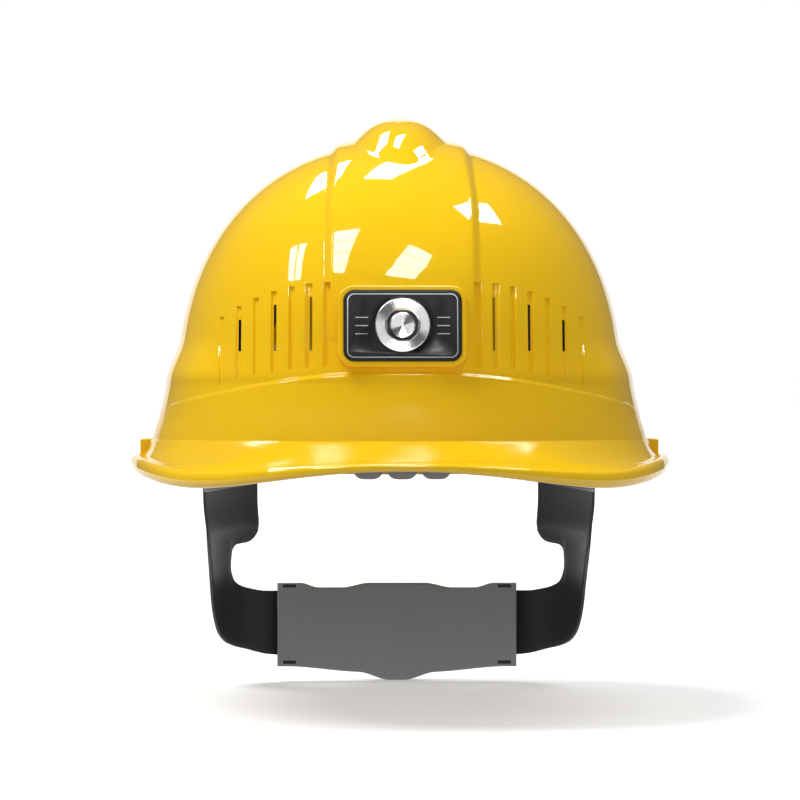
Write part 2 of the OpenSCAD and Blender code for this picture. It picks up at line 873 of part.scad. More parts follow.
// Borders of an arm from the wing's tip round the drop to the strap's end: angle and level
arm_outer = [
    [wing_angle, 14], [wing_angle - 2, 18.5], [wing_angle - 5, 20], [120, 20.4], [108, 21], [98, 21],
    [97, 10], [98.5, -4], [99.5, -18], [102, -32], [106, -50], [113, -61.5], [121, -67.3],
    [130, strap_low_edge_z + 5.3], [mix(130, end_angle, 0.5), strap_low_edge_z + 3],
    [end_angle, strap_low_edge_z]
];
arm_inner = [
    [wing_angle, -20], [wing_angle - 1, -23.2], [wing_angle - 3, -24.8], [125.5, -25.3], [123, -25.7],
    [121.9, -26.8], [121.6, -28.4], [122.2, -30.6], [123, -33.4], [124.4, -36.6], [126.6, -39.6],
    [130, -42.6], [136, strap_hi_z + 2.6], [mix(136, end_angle, 0.4), strap_hi_z + 1.2],
    [mix(136, end_angle, 0.75), strap_hi_z + 0.3], [end_angle, strap_hi_z]
];

module nape_arm(end_y) {
    m = len(arm_outer);
    function grid(off) = [for (i = [0:m - 1]) [for (j = [0:arm_cols])
        let(p = mix(arm_outer[i], arm_inner[i], j / arm_cols)) arm_point(p[0], p[1], off, end_y)]];
    difference() {
        plate(grid(0), grid(-band_t));
        at_key(key_angles[2])
            stud_hole();
        for (z = rivet_levels)
            at_key(rivet_angle)
                translate([-2 * embed, 0, z])
                    rotate([0, 90, 0])
                        cylinder(d = rivet_d + 2 * shaft_gap, h = 4 * embed, $fn = part_fn);
    }
}

module nape_arm_right() {
    color(charcoal)
        nape_arm(layer_b_y - shaft_gap * 2);
}

module nape_arm_left() {
    color(charcoal)
        mirror([1, 0, 0])
            nape_arm(layer_a_y - shaft_gap * 2);
}

// Ratchet: racks, pinion and case. Its axis runs back through the knob
ratchet_z = strap_hi_z - ratchet_strap_h / 2 - 4.3;
pitch_r = pinion_teeth * tooth_module / 2;
tip_r = pitch_r + tooth_module * 0.9;
root_r = pitch_r - tooth_module * 1.15;
tooth_pitch = PI * tooth_module;
backlash = 0.3;
rack_end_x = arm_end_x - rack_gap;
rack_tip_x = rack_travel + 15;
rack_slot_half = rack_travel + tip_r + 1.4;
rack_teeth_half = floor((rack_slot_half - 2) / tooth_pitch);

module gear_outline() {
    half = 360 / pinion_teeth / 4;
    trim = backlash / 2 / pitch_r * 180 / PI;
    polygon([for (i = [0:pinion_teeth - 1]) let(a = 90 + i * 360 / pinion_teeth) each [
        root_r * [cos(a - half * 1.4), sin(a - half * 1.4)],
        pitch_r * [cos(a - half + trim), sin(a - half + trim)],
        tip_r * [cos(a - half * 0.45 + trim / 2), sin(a - half * 0.45 + trim / 2)],
        tip_r * [cos(a + half * 0.45 - trim / 2), sin(a + half * 0.45 - trim / 2)],
        pitch_r * [cos(a + half - trim), sin(a + half - trim)],
        root_r * [cos(a + half * 1.4), sin(a + half * 1.4)]
    ]]);
}

// Teeth along the x axis that point down, with a tooth or a gap at x = 0
rack_tip = pitch_r - tooth_module * 0.65;
rack_root = pitch_r + tooth_module * 1.05;
module rack_tooth_row(tooth_at_middle) {
    for (i = [-rack_teeth_half:rack_teeth_half - 1])
        translate([(i + (tooth_at_middle ? 0 : 0.5)) * tooth_pitch, 0])
            polygon([
                [-tooth_pitch * 0.42, rack_root + 0.3], [-tooth_pitch * 0.37, rack_root],
                [-tooth_pitch * 0.165, rack_tip], [tooth_pitch * 0.165, rack_tip],
                [tooth_pitch * 0.37, rack_root], [tooth_pitch * 0.42, rack_root + 0.3]
            ]);
}

// Outline of the left rack about the pinion's axis, teeth on the slot's upper edge
slot_clear = 0.6;
module rack_outline(upper) {
    strap_top = strap_hi_z - ratchet_z;
    strap_low = strap_low_edge_z - ratchet_z;
    plain = tip_r + slot_clear;
    difference() {
        translate([-rack_end_x, strap_low])
            square([rack_end_x + rack_tip_x, strap_top - strap_low]);
        translate([-rack_slot_half, upper ? -plain : -rack_root])
            square([2 * rack_slot_half, plain + rack_root]);
    }
    if (upper)
        rack_tooth_row(false);
    else
        mirror([0, 1])
            rack_tooth_row(true);
}

module at_ratchet(y) {
    translate([0, y, ratchet_z])
        rotate([90, 0, 0])
            mirror([0, 0, 1])
                children();
}

module rack_left() {
    color(charcoal)
        at_ratchet(layer_a_y)
            linear_extrude(rack_t)
                rack_outline(true);
}

module rack_right() {
    color(charcoal)
        at_ratchet(layer_b_y)
            linear_extrude(rack_t)
                mirror([1, 0])
                    rack_outline(false);
}

// Case outline: half width, upper and lower edge with their bulges, and the corner ears
ear_top_z = strap_hi_z + 3.5;
dip_z = strap_hi_z + 1.5;
foot_edge_z = strap_low_edge_z - 4.6;
bulge_low_z = foot_edge_z - 5.9;
ear_x = cover_half_w - 10;
outline_points = 26;
function case_top(x) = dip_z + (ear_top_z - dip_z)
    * max(ease((abs(x) - ear_x + 8) / 8), 1 - ease((abs(x) - 12) / 12));
function case_low(x) = foot_edge_z + (bulge_low_z - foot_edge_z)
    * (0.42 * (1 - ease((abs(x) - 14) / 34)) + 0.58 * (1 - ease((abs(x) - 3) / 14)));

module case_outline(inset) {
    half = cover_half_w - inset;
    places = [for (i = [0:outline_points]) mix(-half, half, i / outline_points)];
    translate([0, -ratchet_z])
        polygon(concat(
            [for (x = places) [x, case_low(x) + inset]],
            [for (x = places) [-x, case_top(x) - inset]]
        ));
}

// Snap hooks of the housing and their slots in the cover's corners
hook_x = cover_half_w - 5.3;
hook_w = 5.2;
hook_t = 1;
hook_levels = [strap_hi_z + 2.2, strap_low_edge_z - 2.7];
channel_y = layer_a_y - slip_gap;
channel_end_y = layer_b_y + rack_t + slip_gap;
back_t = 2.4;
back_y = channel_end_y + back_t;

module hook_row(extra) {
    for (x = [-hook_x, hook_x], z = hook_levels)
        translate([x - hook_w / 2 - extra, z - hook_t / 2 - extra - ratchet_z])
            square([hook_w + 2 * extra, hook_t + 2 * extra]);
}

journal_d = 4;
journal_l = 1.4;

module nape_cover() {
    color(mid_grey)
        difference() {
            at_ratchet(nape_y)
                linear_extrude(channel_y - nape_y)
                    case_outline(0);
            at_ratchet(nape_y - 1)
                linear_extrude(channel_y - nape_y + 2)
                    hook_row(slip_gap);
            at_ratchet(channel_y - journal_l)
                cylinder(d = journal_d + 2 * shaft_gap, h = journal_l + 1, $fn = part_fn);
        }
}

module ratchet_housing() {
    rail_top = strap_hi_z + fit_gap - ratchet_z;
    rail_low = strap_low_edge_z - fit_gap - ratchet_z;
    color(charcoal)
        difference() {
            union() {
                at_ratchet(channel_end_y)
                    linear_extrude(back_t)
                        case_outline(0.4);
                at_ratchet(channel_y)
                    linear_extrude(channel_end_y - channel_y + 0.5)
                        difference() {
                            case_outline(0.4);
                            translate([-cover_half_w - 1, rail_low])
                                square([2 * cover_half_w + 2, rail_top - rail_low]);
                        }
                at_ratchet(nape_y + 0.3)
                    linear_extrude(channel_y - nape_y + 1)
                        hook_row(0);
                at_ratchet(back_y - 0.5)
                    cylinder(d = spring_seat_d, h = spring_seat_h + 0.5, $fn = part_fn);
                at_ratchet(back_y - 0.5)
                    cylinder(d = boss_d, h = boss_h + 0.5, $fn = part_fn);
            }
            at_ratchet(channel_y - 2)
                cylinder(d = shaft_d + 2 * shaft_gap, h = 20, $fn = part_fn);
        }
}

// Places along the shaft: the housing's boss, the detent spring on it, the knob and its screw
boss_d = shaft_d + 5;
boss_h = 3;
spring_t = 1.2;
spring_seat_d = boss_d + 5;
spring_seat_h = boss_h - spring_t - slip_gap;
knob_y = back_y + 0.4;
knob_end_y = knob_y + knob_l;
hub_y = back_y + boss_h + fit_gap;
shaft_end_y = knob_end_y - 4;
screw_d = 2.5;
screw_l = 7;
washer_d = 8;
washer_t = 0.8;
screw_seat_y = shaft_end_y + 1.2;
screw_head_d = 5.6;
screw_head_h = 1.6;
cross_l = 3.2;
cross_w = 0.8;

module pinion() {
    color(pale_grey)
        difference() {
            union() {
                at_ratchet(channel_y + shaft_gap)
                    linear_extrude(channel_end_y - channel_y - 2 * shaft_gap)
                        gear_outline();
                at_ratchet(channel_y - journal_l + slip_gap)
                    cylinder(d = journal_d, h = journal_l + 1, $fn = part_fn);
                at_ratchet(channel_end_y - 1)
                    cylinder(d = shaft_d, h = shaft_end_y - channel_end_y + 1, $fn = part_fn);
            }
            at_ratchet(shaft_end_y - screw_l)
                cylinder(d = screw_d, h = screw_l + 1, $fn = part_fn);
        }
}

// Knob: grip ring with lobes, face, hub and a ring of detent teeth inside
knob_lobes = 20;
lobe_depth = 0.7;
knob_wall = 2.6;
knob_face_t = 2.4;
hub_wall = 2.4;
detent_teeth = 30;
detent_h = 0.8;
detent_r = knob_d / 2 - 2 * lobe_depth - knob_wall;

// Outline of a ring whose radius waves in and out
module wavy_outline(r, depth, waves, steps) {
    polygon([for (i = [0:waves * steps - 1])
        let(a = i * 360 / (waves * steps), reach = r - depth / 2 * (1 - cos(a * waves)))
        reach * [-sin(a), cos(a)]]);
}

module knob() {
    knob_hollow = knob_end_y - knob_face_t - hub_y;
    color(charcoal)
        difference() {
            at_ratchet(knob_y)
                linear_extrude(knob_l)
                    wavy_outline(knob_d / 2, 2 * lobe_depth, knob_lobes, 8);
            at_ratchet(knob_y - 1)
                linear_extrude(hub_y - knob_y + 1)
                    wavy_outline(detent_r, detent_h, detent_teeth, 4);
            at_ratchet(hub_y - 0.1)
                difference() {
                    cylinder(r = detent_r - detent_h, h = knob_hollow + 0.1, $fn = part_fn);
                    cylinder(r = shaft_d / 2 + hub_wall, h = knob_l, $fn = part_fn);
                }
            at_ratchet(hub_y - 1)
                cylinder(d = shaft_d + 2 * shaft_gap, h = shaft_end_y - hub_y + 1 + shaft_gap, $fn = part_fn);
            at_ratchet(knob_y)
                cylinder(d = screw_d + 0.8, h = knob_l + 1, $fn = part_fn);
            at_ratchet(screw_seat_y)
                cylinder(d = washer_d + 1, h = knob_l, $fn = part_fn);
        }
}

module pawl_spring() {
    nose_r = detent_r - detent_h - slip_gap;
    color(pale_grey)
        at_ratchet(back_y + spring_seat_h)
            linear_extrude(spring_t)
                difference() {
                    union() {
                        circle(d = spring_seat_d, $fn = part_fn);
                        for (a = [0, 180])
                            rotate(a)
                                polygon([
                                    [-2, 0], [2, 0], [1.6, nose_r - 1.4], [0.5, nose_r], [-0.5, nose_r],
                                    [-1.6, nose_r - 1.4]
                                ]);
                    }
                    circle(d = boss_d + 2 * shaft_gap, $fn = part_fn);
                }
}

module washer() {
    color(metal)
        at_ratchet(screw_seat_y)
            difference() {
                cylinder(d = washer_d, h = washer_t, $fn = part_fn);
                translate([0, 0, -1])
                    cylinder(d = screw_d + 0.5, h = washer_t + 2, $fn = part_fn);
            }
}

module knob_screw() {
    screw_end_y = shaft_end_y - screw_l + 1;
    color(metal)
        difference() {
            union() {
                at_ratchet(screw_seat_y + washer_t)
                    cylinder(d = screw_head_d, h = screw_head_h, $fn = part_fn);
                at_ratchet(screw_end_y)
                    cylinder(d = screw_d - 2 * shaft_gap, h = screw_seat_y + washer_t + 0.5 - screw_end_y,
                        $fn = part_fn);
            }
            for (a = [0, 90])
                at_ratchet(screw_seat_y + washer_t + screw_head_h / 2)
                    rotate(a)
                        translate([-cross_l / 2, -cross_w / 2])
                            cube([cross_l, cross_w, screw_head_h]);
        }
}

shell();
badge_plate();
medallion_ring();
medallion_button();
key_front_right();
key_front_left();
key_side_right();
key_side_left();
key_rear_right();
key_rear_left();
strap_front_right();
strap_side();
strap_front_left();
headband();
brow_pad();
nape_arm_right();
nape_arm_left();
band_rivets();
rack_right();
rack_left();
ratchet_housing();
nape_cover();
pawl_spring();
pinion();
knob();
washer();
knob_screw();
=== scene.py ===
"""Safety helmet: the looks of each piece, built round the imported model, and the studio that it stands in."""

import math

import bmesh
import bpy
import numpy as np
from mathutils import Matrix, Vector


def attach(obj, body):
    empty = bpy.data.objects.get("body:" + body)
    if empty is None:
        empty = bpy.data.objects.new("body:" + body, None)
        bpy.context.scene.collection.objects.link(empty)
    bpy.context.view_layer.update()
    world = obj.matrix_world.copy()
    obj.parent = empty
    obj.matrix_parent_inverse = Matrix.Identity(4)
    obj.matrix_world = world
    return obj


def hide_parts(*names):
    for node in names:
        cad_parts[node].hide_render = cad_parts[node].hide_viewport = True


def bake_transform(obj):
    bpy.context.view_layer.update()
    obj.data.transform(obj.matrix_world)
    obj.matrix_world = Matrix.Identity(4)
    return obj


bl_info = {
    "name": "Safety Helmet",
    "version": (1, 0, 0),
    "blender": (4, 5, 0),
    "location": "3D View > Sidebar > Helmet",
    "description": "Builds a moulded safety helmet with its cradle, headband and nape ratchet",
    "category": "Object",
}

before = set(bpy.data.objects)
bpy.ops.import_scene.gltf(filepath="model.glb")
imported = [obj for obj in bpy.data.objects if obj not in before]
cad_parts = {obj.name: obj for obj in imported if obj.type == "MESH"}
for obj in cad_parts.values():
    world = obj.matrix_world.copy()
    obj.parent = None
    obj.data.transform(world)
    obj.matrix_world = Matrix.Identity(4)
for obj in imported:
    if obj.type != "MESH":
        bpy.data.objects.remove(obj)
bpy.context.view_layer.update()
MM = 0.001

# Dome, in millimetres: +Z up, the front faces -Y, angles start at the front and turn towards +X
DOME_HALF_W = 90.4
DOME_FRONT = 108.0
DOME_REAR = 112.0
DOME_BASE_Z = 42.0
DOME_H = 98.6
DOME_POWER = 2.15
PLAN_POWER = 2.2
WALL = 2.8
FLARE = 4.7
DRAFT = 0.21
FOOT_OUT = 0.8
FOOT_OUT_Z = 30.0
FOOT_OUT_FADE = 10.0
FOOT_Z = 16.0
FLARE_SIDE_Z = (42.5, 61.0)
FLARE_FRONT_Z = 60.0
FRONT_END_ANGLE = 44.0
SIDE_START_ANGLE = 62.0

# Centre band and crown bump
BAND_TOP_HALF_W = (26.8, 24.4)
BAND_FOOT_HALF_W = (29.9, 28.8)
BAND_WIDE_Z = (112.0, 134.0)
BAND_FRONT_Z = 52.0
BAND_FRONT_FADE = 34.0
BAND_REAR_Z = 60.0
BAND_REAR_FADE = 5.0
BAND_TURNS = (5.0, 166.0, 0.6)
BAND_SINK = 0.6
BAND_SINK_Z = 60.0
BAND_SINK_FADE = 6.0
BAND_ROOT_OFF = -1.6
# Places down the band's side wall, and the share of its rise that is left there
BAND_WALL = ((0.0, 1.0), (0.12, 0.97), (0.26, 0.88), (0.42, 0.72), (0.6, 0.47), (0.78, 0.22), (0.9, 0.08),
             (1.0, 0.01), (1.12, -0.1), (1.3, -0.5))
BUMP_HALF_W = 18.5
BUMP_HALF_L = 48.0
BUMP_Y = -13.0
BUMP_POWERS = (2.6, 1.15)

# Forehead panel
PANEL_TOP_Z = 46.0
PANEL_DROP = 13.0
PANEL_HALF_W = 92.0
PANEL_SKIRT_HALF_W = 95.2
PANEL_END_ANGLE = 70.6
PANEL_CORNER_R = 5.0
PANEL_FILLET = 1.6
PANEL_RISE = 1.3
ARCH_POWER = 2.2
ARCH_BACK_ANGLE = 78.0
ARCH_BACK_SPAN = 50.0
ARCH_FADE = 16.0
# Levels between which the shell's rows are spaced more closely, for the panel's top edge
FINE_ROWS_Z = (52.0, 47.5, 44.4)

# Peak and rim
RIM_HALF_W = 109.2
PEAK_REACH = 160.0
RIM_REAR = 127.0
RIM_POWER = 2.3
ROOT_Z = 20.0
REAR_ROOT_Z = 17.0
REAR_ROOT_ANGLES = (80.0, 150.0)
REAR_FADE = 25.0
INNER_ROOT_OFF = 0.3 - WALL
ROOT_DROP = 4.0
LIP_ANGLES = (0.0, 44.0, 84.0, 140.0, 180.0)
LIP_LEVELS = (10.6, 5.6, 10.8, 6.0, 5.0)
LIP_SIZES = (3.0, 7.0, 6.0, 4.4, 4.4)
LIP_BEADS = (0.0, 0.3, 0.4, 0.2, 0.2)

# Heights between which the yellow is painted deeper, as painted shade on the panel and the brim, and the gloss
# less sharp, with where each starts and ends
PAINTED_SHADE_BELT_Z = (6.0, 13.0, 42.0, 48.0)
DULL_SKIRT_Z = (16.0, 20.0, 28.0, 38.0)

# Accessory slots
SLOT_IN_X = DOME_HALF_W + 9.0
SLOT_W = 5.2
SLOT_L = 31.0
SLOT_Y = 14.0
SLOT_WALL = 2.4
SLOT_ROOF_Z = 17.4
SLOT_BLOCK_Z = (7.0, 19.8)
SLOT_LIP = 1.2

# Badge and medallion
BADGE_W = 45.0
BADGE_H = 27.8
BADGE_R = 4.0
BADGE_T = 1.6
BADGE_Z = 64.0
BADGE_SEAT = 1.0
BADGE_PROBE = 12.0
FRAME_BORDER = 2.1
FRAME_PROUD = 1.6
FRAME_ROOT = 7.0
FRAME_ROUND = 0.7
POCKET_GAP = 0.2
BADGE_COS = 0.977
BORDER_INSET = 1.5
BORDER_R = 2.6
LINE_W = 0.3
LINE_PITCH = 3.2
LINE_MIDDLE_X = 15.6
LINE_HALF_L = 2.4
MEDALLION_D = 21.4
MEDALLION_RISE = 1.4
BUTTON_D = 10.0
MEDALLION_SEAT = BADGE_T - BADGE_SEAT - 0.4

# Louvres
LOUVRE_COUNT = 7
LOUVRE_FIRST_X = 28.8
LOUVRE_PITCH = 6.95
LOUVRE_W = 2.4
SLIT_W = 1.1
SLIT_LOW_Z = BADGE_Z - 9.5
SLIT_SHORT = 5.2
LOUVRE_TOP = (16.8, 0.35)
LOUVRE_LOW = (15.8, 0.1, 0.17)
# How far a louvre's floor runs out from its wall: on the two inner ones, and on the others
LOUVRE_REACH = (3.2, 2.5)

# Cradle and headband
LOOP_HALF_W = 82.1
LOOP_HALF_L = 100.1
KEY_ANGLES = (52.0, 90.0, 126.0)
KEY_W = 20.0
TONGUE_U = 6.0
KEY_T = 2.4
FOOT_U = 0.4
KEY_GAP = 0.3
SOCKET_WALL = 2.3
SOCKET_DEPTH = 12.0
SOCKET_Z = (33.0, 47.6)
POCKET_Z = (24.0, 46.3)
STRAP_W = 19.0
STRAP_T = 1.2
STRAP_TOP_Z = 106.0
STRAP_LAYER = 1.8
STRAP_LOW_Z = 22.0
STRAP_SHOULDER_Z = 32.0
STRAP_POWER = 2.3
STRAP_STEPS = 40
STRAP_TWIST_STEPS = 14
BAND_T = 1.8
BAND_OFF = -2.3
BAND_END_ANGLE = 105.0
BAND_LOW_Z = (8, -2)
BAND_HIGH_Z = (38, 24)
PAD_T = 3.4
PAD_OFF = BAND_OFF - BAND_T - 0.3
LOBE_PITCH = 17.4
LOBES = 4.0
PAD_TOP_Z = 40.0
PAD_LOW_Z = 5.0
PAD_SEAM_RISE = 4.0
PAD_END_RISE = 4.5
PAD_END_LOBE = 1.45
PAD_END_FADE = 0.3
PAD_SWELL = 0.9

# Nape arms and ratchet
NAPE_POWER = 4.5
ARM_END_X = 57.3
ARM_IN_X = 50.3
ARM_MORPH_Z = -18.0
ARM_MORPH = 34.0
ARM_TUCK = 1.0
ARM_TUCK_Z = -6.0
ARM_TUCK_FADE = 14.0
NAPE_Y = 100.0
LAYER_LEFT_Y = 103.5
LAYER_RIGHT_Y = 105.5
ARM_OFF = 1.5
ARM_SPANS = 20
ARM_EDGE_SHARE = 0.62
STRAP_HI_Z = -47.4
STRAP_LO_Z = -75.6
RACK_END_X = 30.4
COVER_HALF_W = 52.0
COVER_T = 3.3
# Outline of the ratchet case: how far it stands over and under the straps, and where that fades
CASE_EAR = 3.5
CASE_EAR_W = 18.0
CASE_EAR_FADE = 8.0
CASE_DIP = 1.5
CASE_MIDDLE_W = 12.0
CASE_FOOT = 4.6
CASE_BELLY = 5.9
CASE_BELLY_SHARES = ((0.42, 14.0, 34.0), (0.58, 3.0, 14.0))
HOOK_SLOT_IN = 5.3
HOOK_SLOT_Z = (STRAP_HI_Z + 2.2, STRAP_LO_Z - 2.7)
HOOK_SLOT_HALF = (2.8, 0.7)


# Maths shared by the shapes, on numbers or arrays
def ease(value):
    c = np.clip(value, 0, 1)
    return c * c * (3 - 2 * c)


def mix(a, b, share):
    return a + (b - a) * share


def between(value, low, high):
    """How far a value has eased from one bound to the other."""
    return ease((value - low) / (high - low))


def signed_pow(value, power):
    return np.sign(value) * np.abs(value) ** power


def sind(angle):
    return np.sin(np.radians(angle))


def cosd(angle):
    return np.cos(np.radians(angle))


def from_front(angle):
    return np.abs((np.asarray(angle) + 540) % 360 - 180)


def oval(angle, half_w, front, rear, power):
    c = cosd(angle)
    reach = np.where(c > 0, front, rear)
    return half_w * signed_pow(sind(angle), 2 / power), -reach * signed_pow(c, 2 / power)


def flare_at(z, angle):
    side = between(from_front(angle), FRONT_END_ANGLE, SIDE_START_ANGLE)
    front_part = 1 - between(z, FOOT_Z, FLARE_FRONT_Z)
    side_part = 1 - between(z, *FLARE_SIDE_Z)
    foot = DRAFT * np.maximum(0, DOME_BASE_Z - z) + FOOT_OUT * side * ease((FOOT_OUT_Z - z) / FOOT_OUT_FADE)
    return FLARE * mix(front_part, side_part, side) + foot


def shrink_at(z, off=0.0):
    rise = np.clip((z - DOME_BASE_Z) / (DOME_H + off), 0, 1)
    return (1 - rise**DOME_POWER) ** (1 / DOME_POWER)


def dome_at(angle, z, off=0.0):
    """Points of the dome, or of one that stands off from it, at angles and levels."""
    z = np.asarray(z, float) + 0 * np.asarray(angle, float)
    share, out = shrink_at(z, off), flare_at(z, angle)
    x, y = oval(angle, (DOME_HALF_W + off) * share + out, (DOME_FRONT + off) * share + out,
                (DOME_REAR + off) * share + out, PLAN_POWER)
    return np.stack([x, y, z], -1)


def front_y(x, z):
    """The dome's front surface at places seen from the front."""
    x, z = np.broadcast_arrays(np.abs(np.asarray(x, float)), np.asarray(z, float))
    angle = np.degrees(np.arcsin(np.minimum(1, (x / DOME_HALF_W) ** (PLAN_POWER / 2))))
    share, out = shrink_at(z), flare_at(z, angle)
    half_w, front = DOME_HALF_W * share + out, DOME_FRONT * share + out
    return -front * np.maximum(0, 1 - (x / half_w) ** PLAN_POWER) ** (1 / PLAN_POWER)


# Mesh helpers
def shade(obj, angle=30.0):
    obj.data.shade_smooth()
    obj.data.set_sharp_from_angle(angle=math.radians(angle))
    return obj


def linked(name, data):
    """A new object in the scene."""
    obj = bpy.data.objects.new(name, data)
    bpy.context.collection.objects.link(obj)
    return obj


def raw_mesh(name, points, faces):
    mesh = bpy.data.meshes.new(name)
    mesh.from_pydata(np.asarray(points, float).reshape(-1, 3).tolist(), [], faces)
    return mesh


def made(name, work, angle=30.0, mesh=None):
    """An object from a bmesh, which is used up."""
    mesh = mesh or bpy.data.meshes.new(name)
    work.to_mesh(mesh)
    work.free()
    return shade(linked(name, mesh), angle)


def solid(name, points, faces, angle=30.0):
    """A closed mesh from points in millimetres, its faces turned outwards."""
    mesh = raw_mesh(name, np.asarray(points, float) * MM, faces)
    work = bmesh.new()
    work.from_mesh(mesh)
    bmesh.ops.remove_doubles(work, verts=work.verts, dist=1e-7)
    bmesh.ops.recalc_face_normals(work, faces=work.faces)
    return made(name, work, angle, mesh)


def ring_faces(rings, count, wrap=True, close=False, caps=True):
    """Faces between rings of points: wrap joins a ring's ends, close joins the last ring to the first."""
    faces = []
    for j in range(rings if close else rings - 1):
        a, b = j * count, (j + 1) % rings * count
        for i in range(count if wrap else count - 1):
            k = (i + 1) % count
            faces.append((a + i, a + k, b + k, b + i))
    if caps and not close:
        faces.append(tuple(range(count))[::-1])
        faces.append(tuple(range((rings - 1) * count, rings * count)))
    return faces


def loft(name, rings, angle=30.0, close=False):
    rings = np.asarray(rings, float)
    return solid(name, rings, ring_faces(len(rings), rings.shape[1], close=close), angle)


def combine(obj, tool, operation):
    """Adds, cuts or intersects a closed solid with another, which is used up."""
    modifier = obj.modifiers.new("combine", "BOOLEAN")
    modifier.operation = operation
    modifier.solver = "MANIFOLD"
    modifier.object = tool
    depsgraph = bpy.context.evaluated_depsgraph_get()
    mesh = bpy.data.meshes.new_from_object(obj.evaluated_get(depsgraph))
    obj.modifiers.clear()
    obj.data = mesh
    bpy.data.objects.remove(tool)
    return obj


def joined(name, parts):
    """One mesh of several separate solids, which are used up."""
    work = bmesh.new()
    for part in parts:
        part.data.transform(part.matrix_world)
        work.from_mesh(part.data)
        bpy.data.objects.remove(part)
    return made(name, work)


def placed(obj, matrix):
    """Moves a new mesh's points by a matrix in millimetres."""
    scale = Matrix.Scale(MM, 4)
    obj.data.transform(scale @ matrix @ scale.inverted())
    return obj


def rounded_rectangle(w, h, r, steps=8):
    """Outline of a rounded rectangle about the origin."""
    points = []
    for cx, cy, start in ((w / 2 - r, h / 2 - r, 0), (r - w / 2, h / 2 - r, 90),
                          (r - w / 2, r - h / 2, 180), (w / 2 - r, r - h / 2, 270)):
        for i in range(steps + 1):
            a = start + 90 * i / steps
            points.append((cx + r * cosd(a), cy + r * sind(a)))
    return np.array(points)


def rounded_stack(name, outline, low, high, low_r, high_r, steps=4):
    """A plate between two heights, whose edges are rounded; outline(inset) gives its outline."""
    rings = []
    for r, level, turn in ((low_r, low, -1), (high_r, high, 1)):
        for i in range(steps + 1):
            a = 90 * i / steps if turn > 0 else 90 - 90 * i / steps
            inset = r * (1 - cosd(a))
            height = level - turn * r * (1 - sind(a))
            rings.append(np.column_stack([outline(inset), np.full(len(outline(inset)), height)]))
    return loft(name, rings)


def rounded_edges(work, edges, width, profile, steps=2):
    bmesh.ops.bevel(work, geom=edges, offset=width * MM, segments=steps, profile=profile, affect="EDGES",
                    clamp_overlap=True)


def block(name, low, high, r, steps=2):
    """A box with rounded edges."""
    size = np.asarray(high, float) - np.asarray(low, float)
    work = bmesh.new()
    bmesh.ops.create_cube(work, size=1)
    bmesh.ops.scale(work, vec=Vector(size * MM), verts=work.verts)
    bmesh.ops.translate(work, vec=Vector((np.asarray(low, float) + size / 2) * MM), verts=work.verts)
    if r:
        rounded_edges(work, work.edges, r, 0.5, steps)
    return made(name, work)


def sided_block(name, side, low, high, r):
    """A box on the right, or its mirror image on the left."""
    low_x, high_x = sorted((side * low[0], side * high[0]))
    return block(name, (low_x, *low[1:]), (high_x, *high[1:]), r)


def lathe(name, profile, steps=96, angle=25.0, close=False):
    """A turned solid from a profile of radius and height, or a ring where close joins its ends."""
    turns = np.arange(steps) * 360 / steps
    rings = [np.column_stack([r * cosd(turns), r * sind(turns), np.full(steps, h)]) for r, h in profile]
    return loft(name, rings, angle, close)


def rounded_copy(node, name, width, limit=35.0, cuts=()):
    """A copy of a CAD node's mesh whose sharp edges are rounded by a width in millimetres."""
    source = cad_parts[node]
    work = bmesh.new()
    work.from_mesh(source.data)
    bmesh.ops.transform(work, matrix=source.matrix_world, verts=work.verts)
    bmesh.ops.remove_doubles(work, verts=work.verts, dist=2e-6)
    for place, normal in cuts:
        bmesh.ops.bisect_plane(work, geom=work.verts[:] + work.edges[:] + work.faces[:], dist=1e-7,
                               plane_co=Vector(place) * MM, plane_no=Vector(normal), clear_outer=True)
        bmesh.ops.holes_fill(work, edges=[e for e in work.edges if len(e.link_faces) == 1], sides=0)
    bmesh.ops.dissolve_limit(work, angle_limit=math.radians(1.0), verts=work.verts, edges=work.edges)
    bmesh.ops.recalc_face_normals(work, faces=work.faces)
    sharp = [e for e in work.edges if len(e.link_faces) == 2 and e.calc_face_angle() > math.radians(limit)]
    rounded_edges(work, sharp, width, 0.6)
    return made(name, work, 40.0)


# Materials
def maths(operation, swapped=False):
    """A method of a link that adds a Math node; swapped puts the other value first."""
    def method(self, other=None):
        values = (other, self) if swapped else (self, other)
        inputs = {i: value for i, value in enumerate(values) if value is not None}
        return self.finish.node("ShaderNodeMath", {"operation": operation}, inputs)
    return method


class Link:
    """A socket of a material; the operators on it add Math nodes."""

    def __init__(self, finish, socket):
        self.finish, self.socket = finish, socket

    __add__ = __radd__ = maths("ADD")
    __mul__ = __rmul__ = maths("MULTIPLY")
    __sub__ = maths("SUBTRACT")
    __rsub__ = maths("SUBTRACT", swapped=True)
    __truediv__ = maths("DIVIDE")
    __pow__ = maths("POWER")
    __mod__ = maths("FLOORED_MODULO")
    least = maths("MINIMUM")
    most = maths("MAXIMUM")
    size = maths("ABSOLUTE")
    sine = maths("SINE")

    def eased(self, low, high):
        return self.finish.node("ShaderNodeMapRange", {"interpolation_type": "SMOOTHSTEP"},
                                {"Value": self, "From Min": low, "From Max": high})

    def within(self, start, full, fading, end):
        """1 between two bounds, with eased ends."""
        return self.eased(start, full) * (1 - self.eased(fading, end))


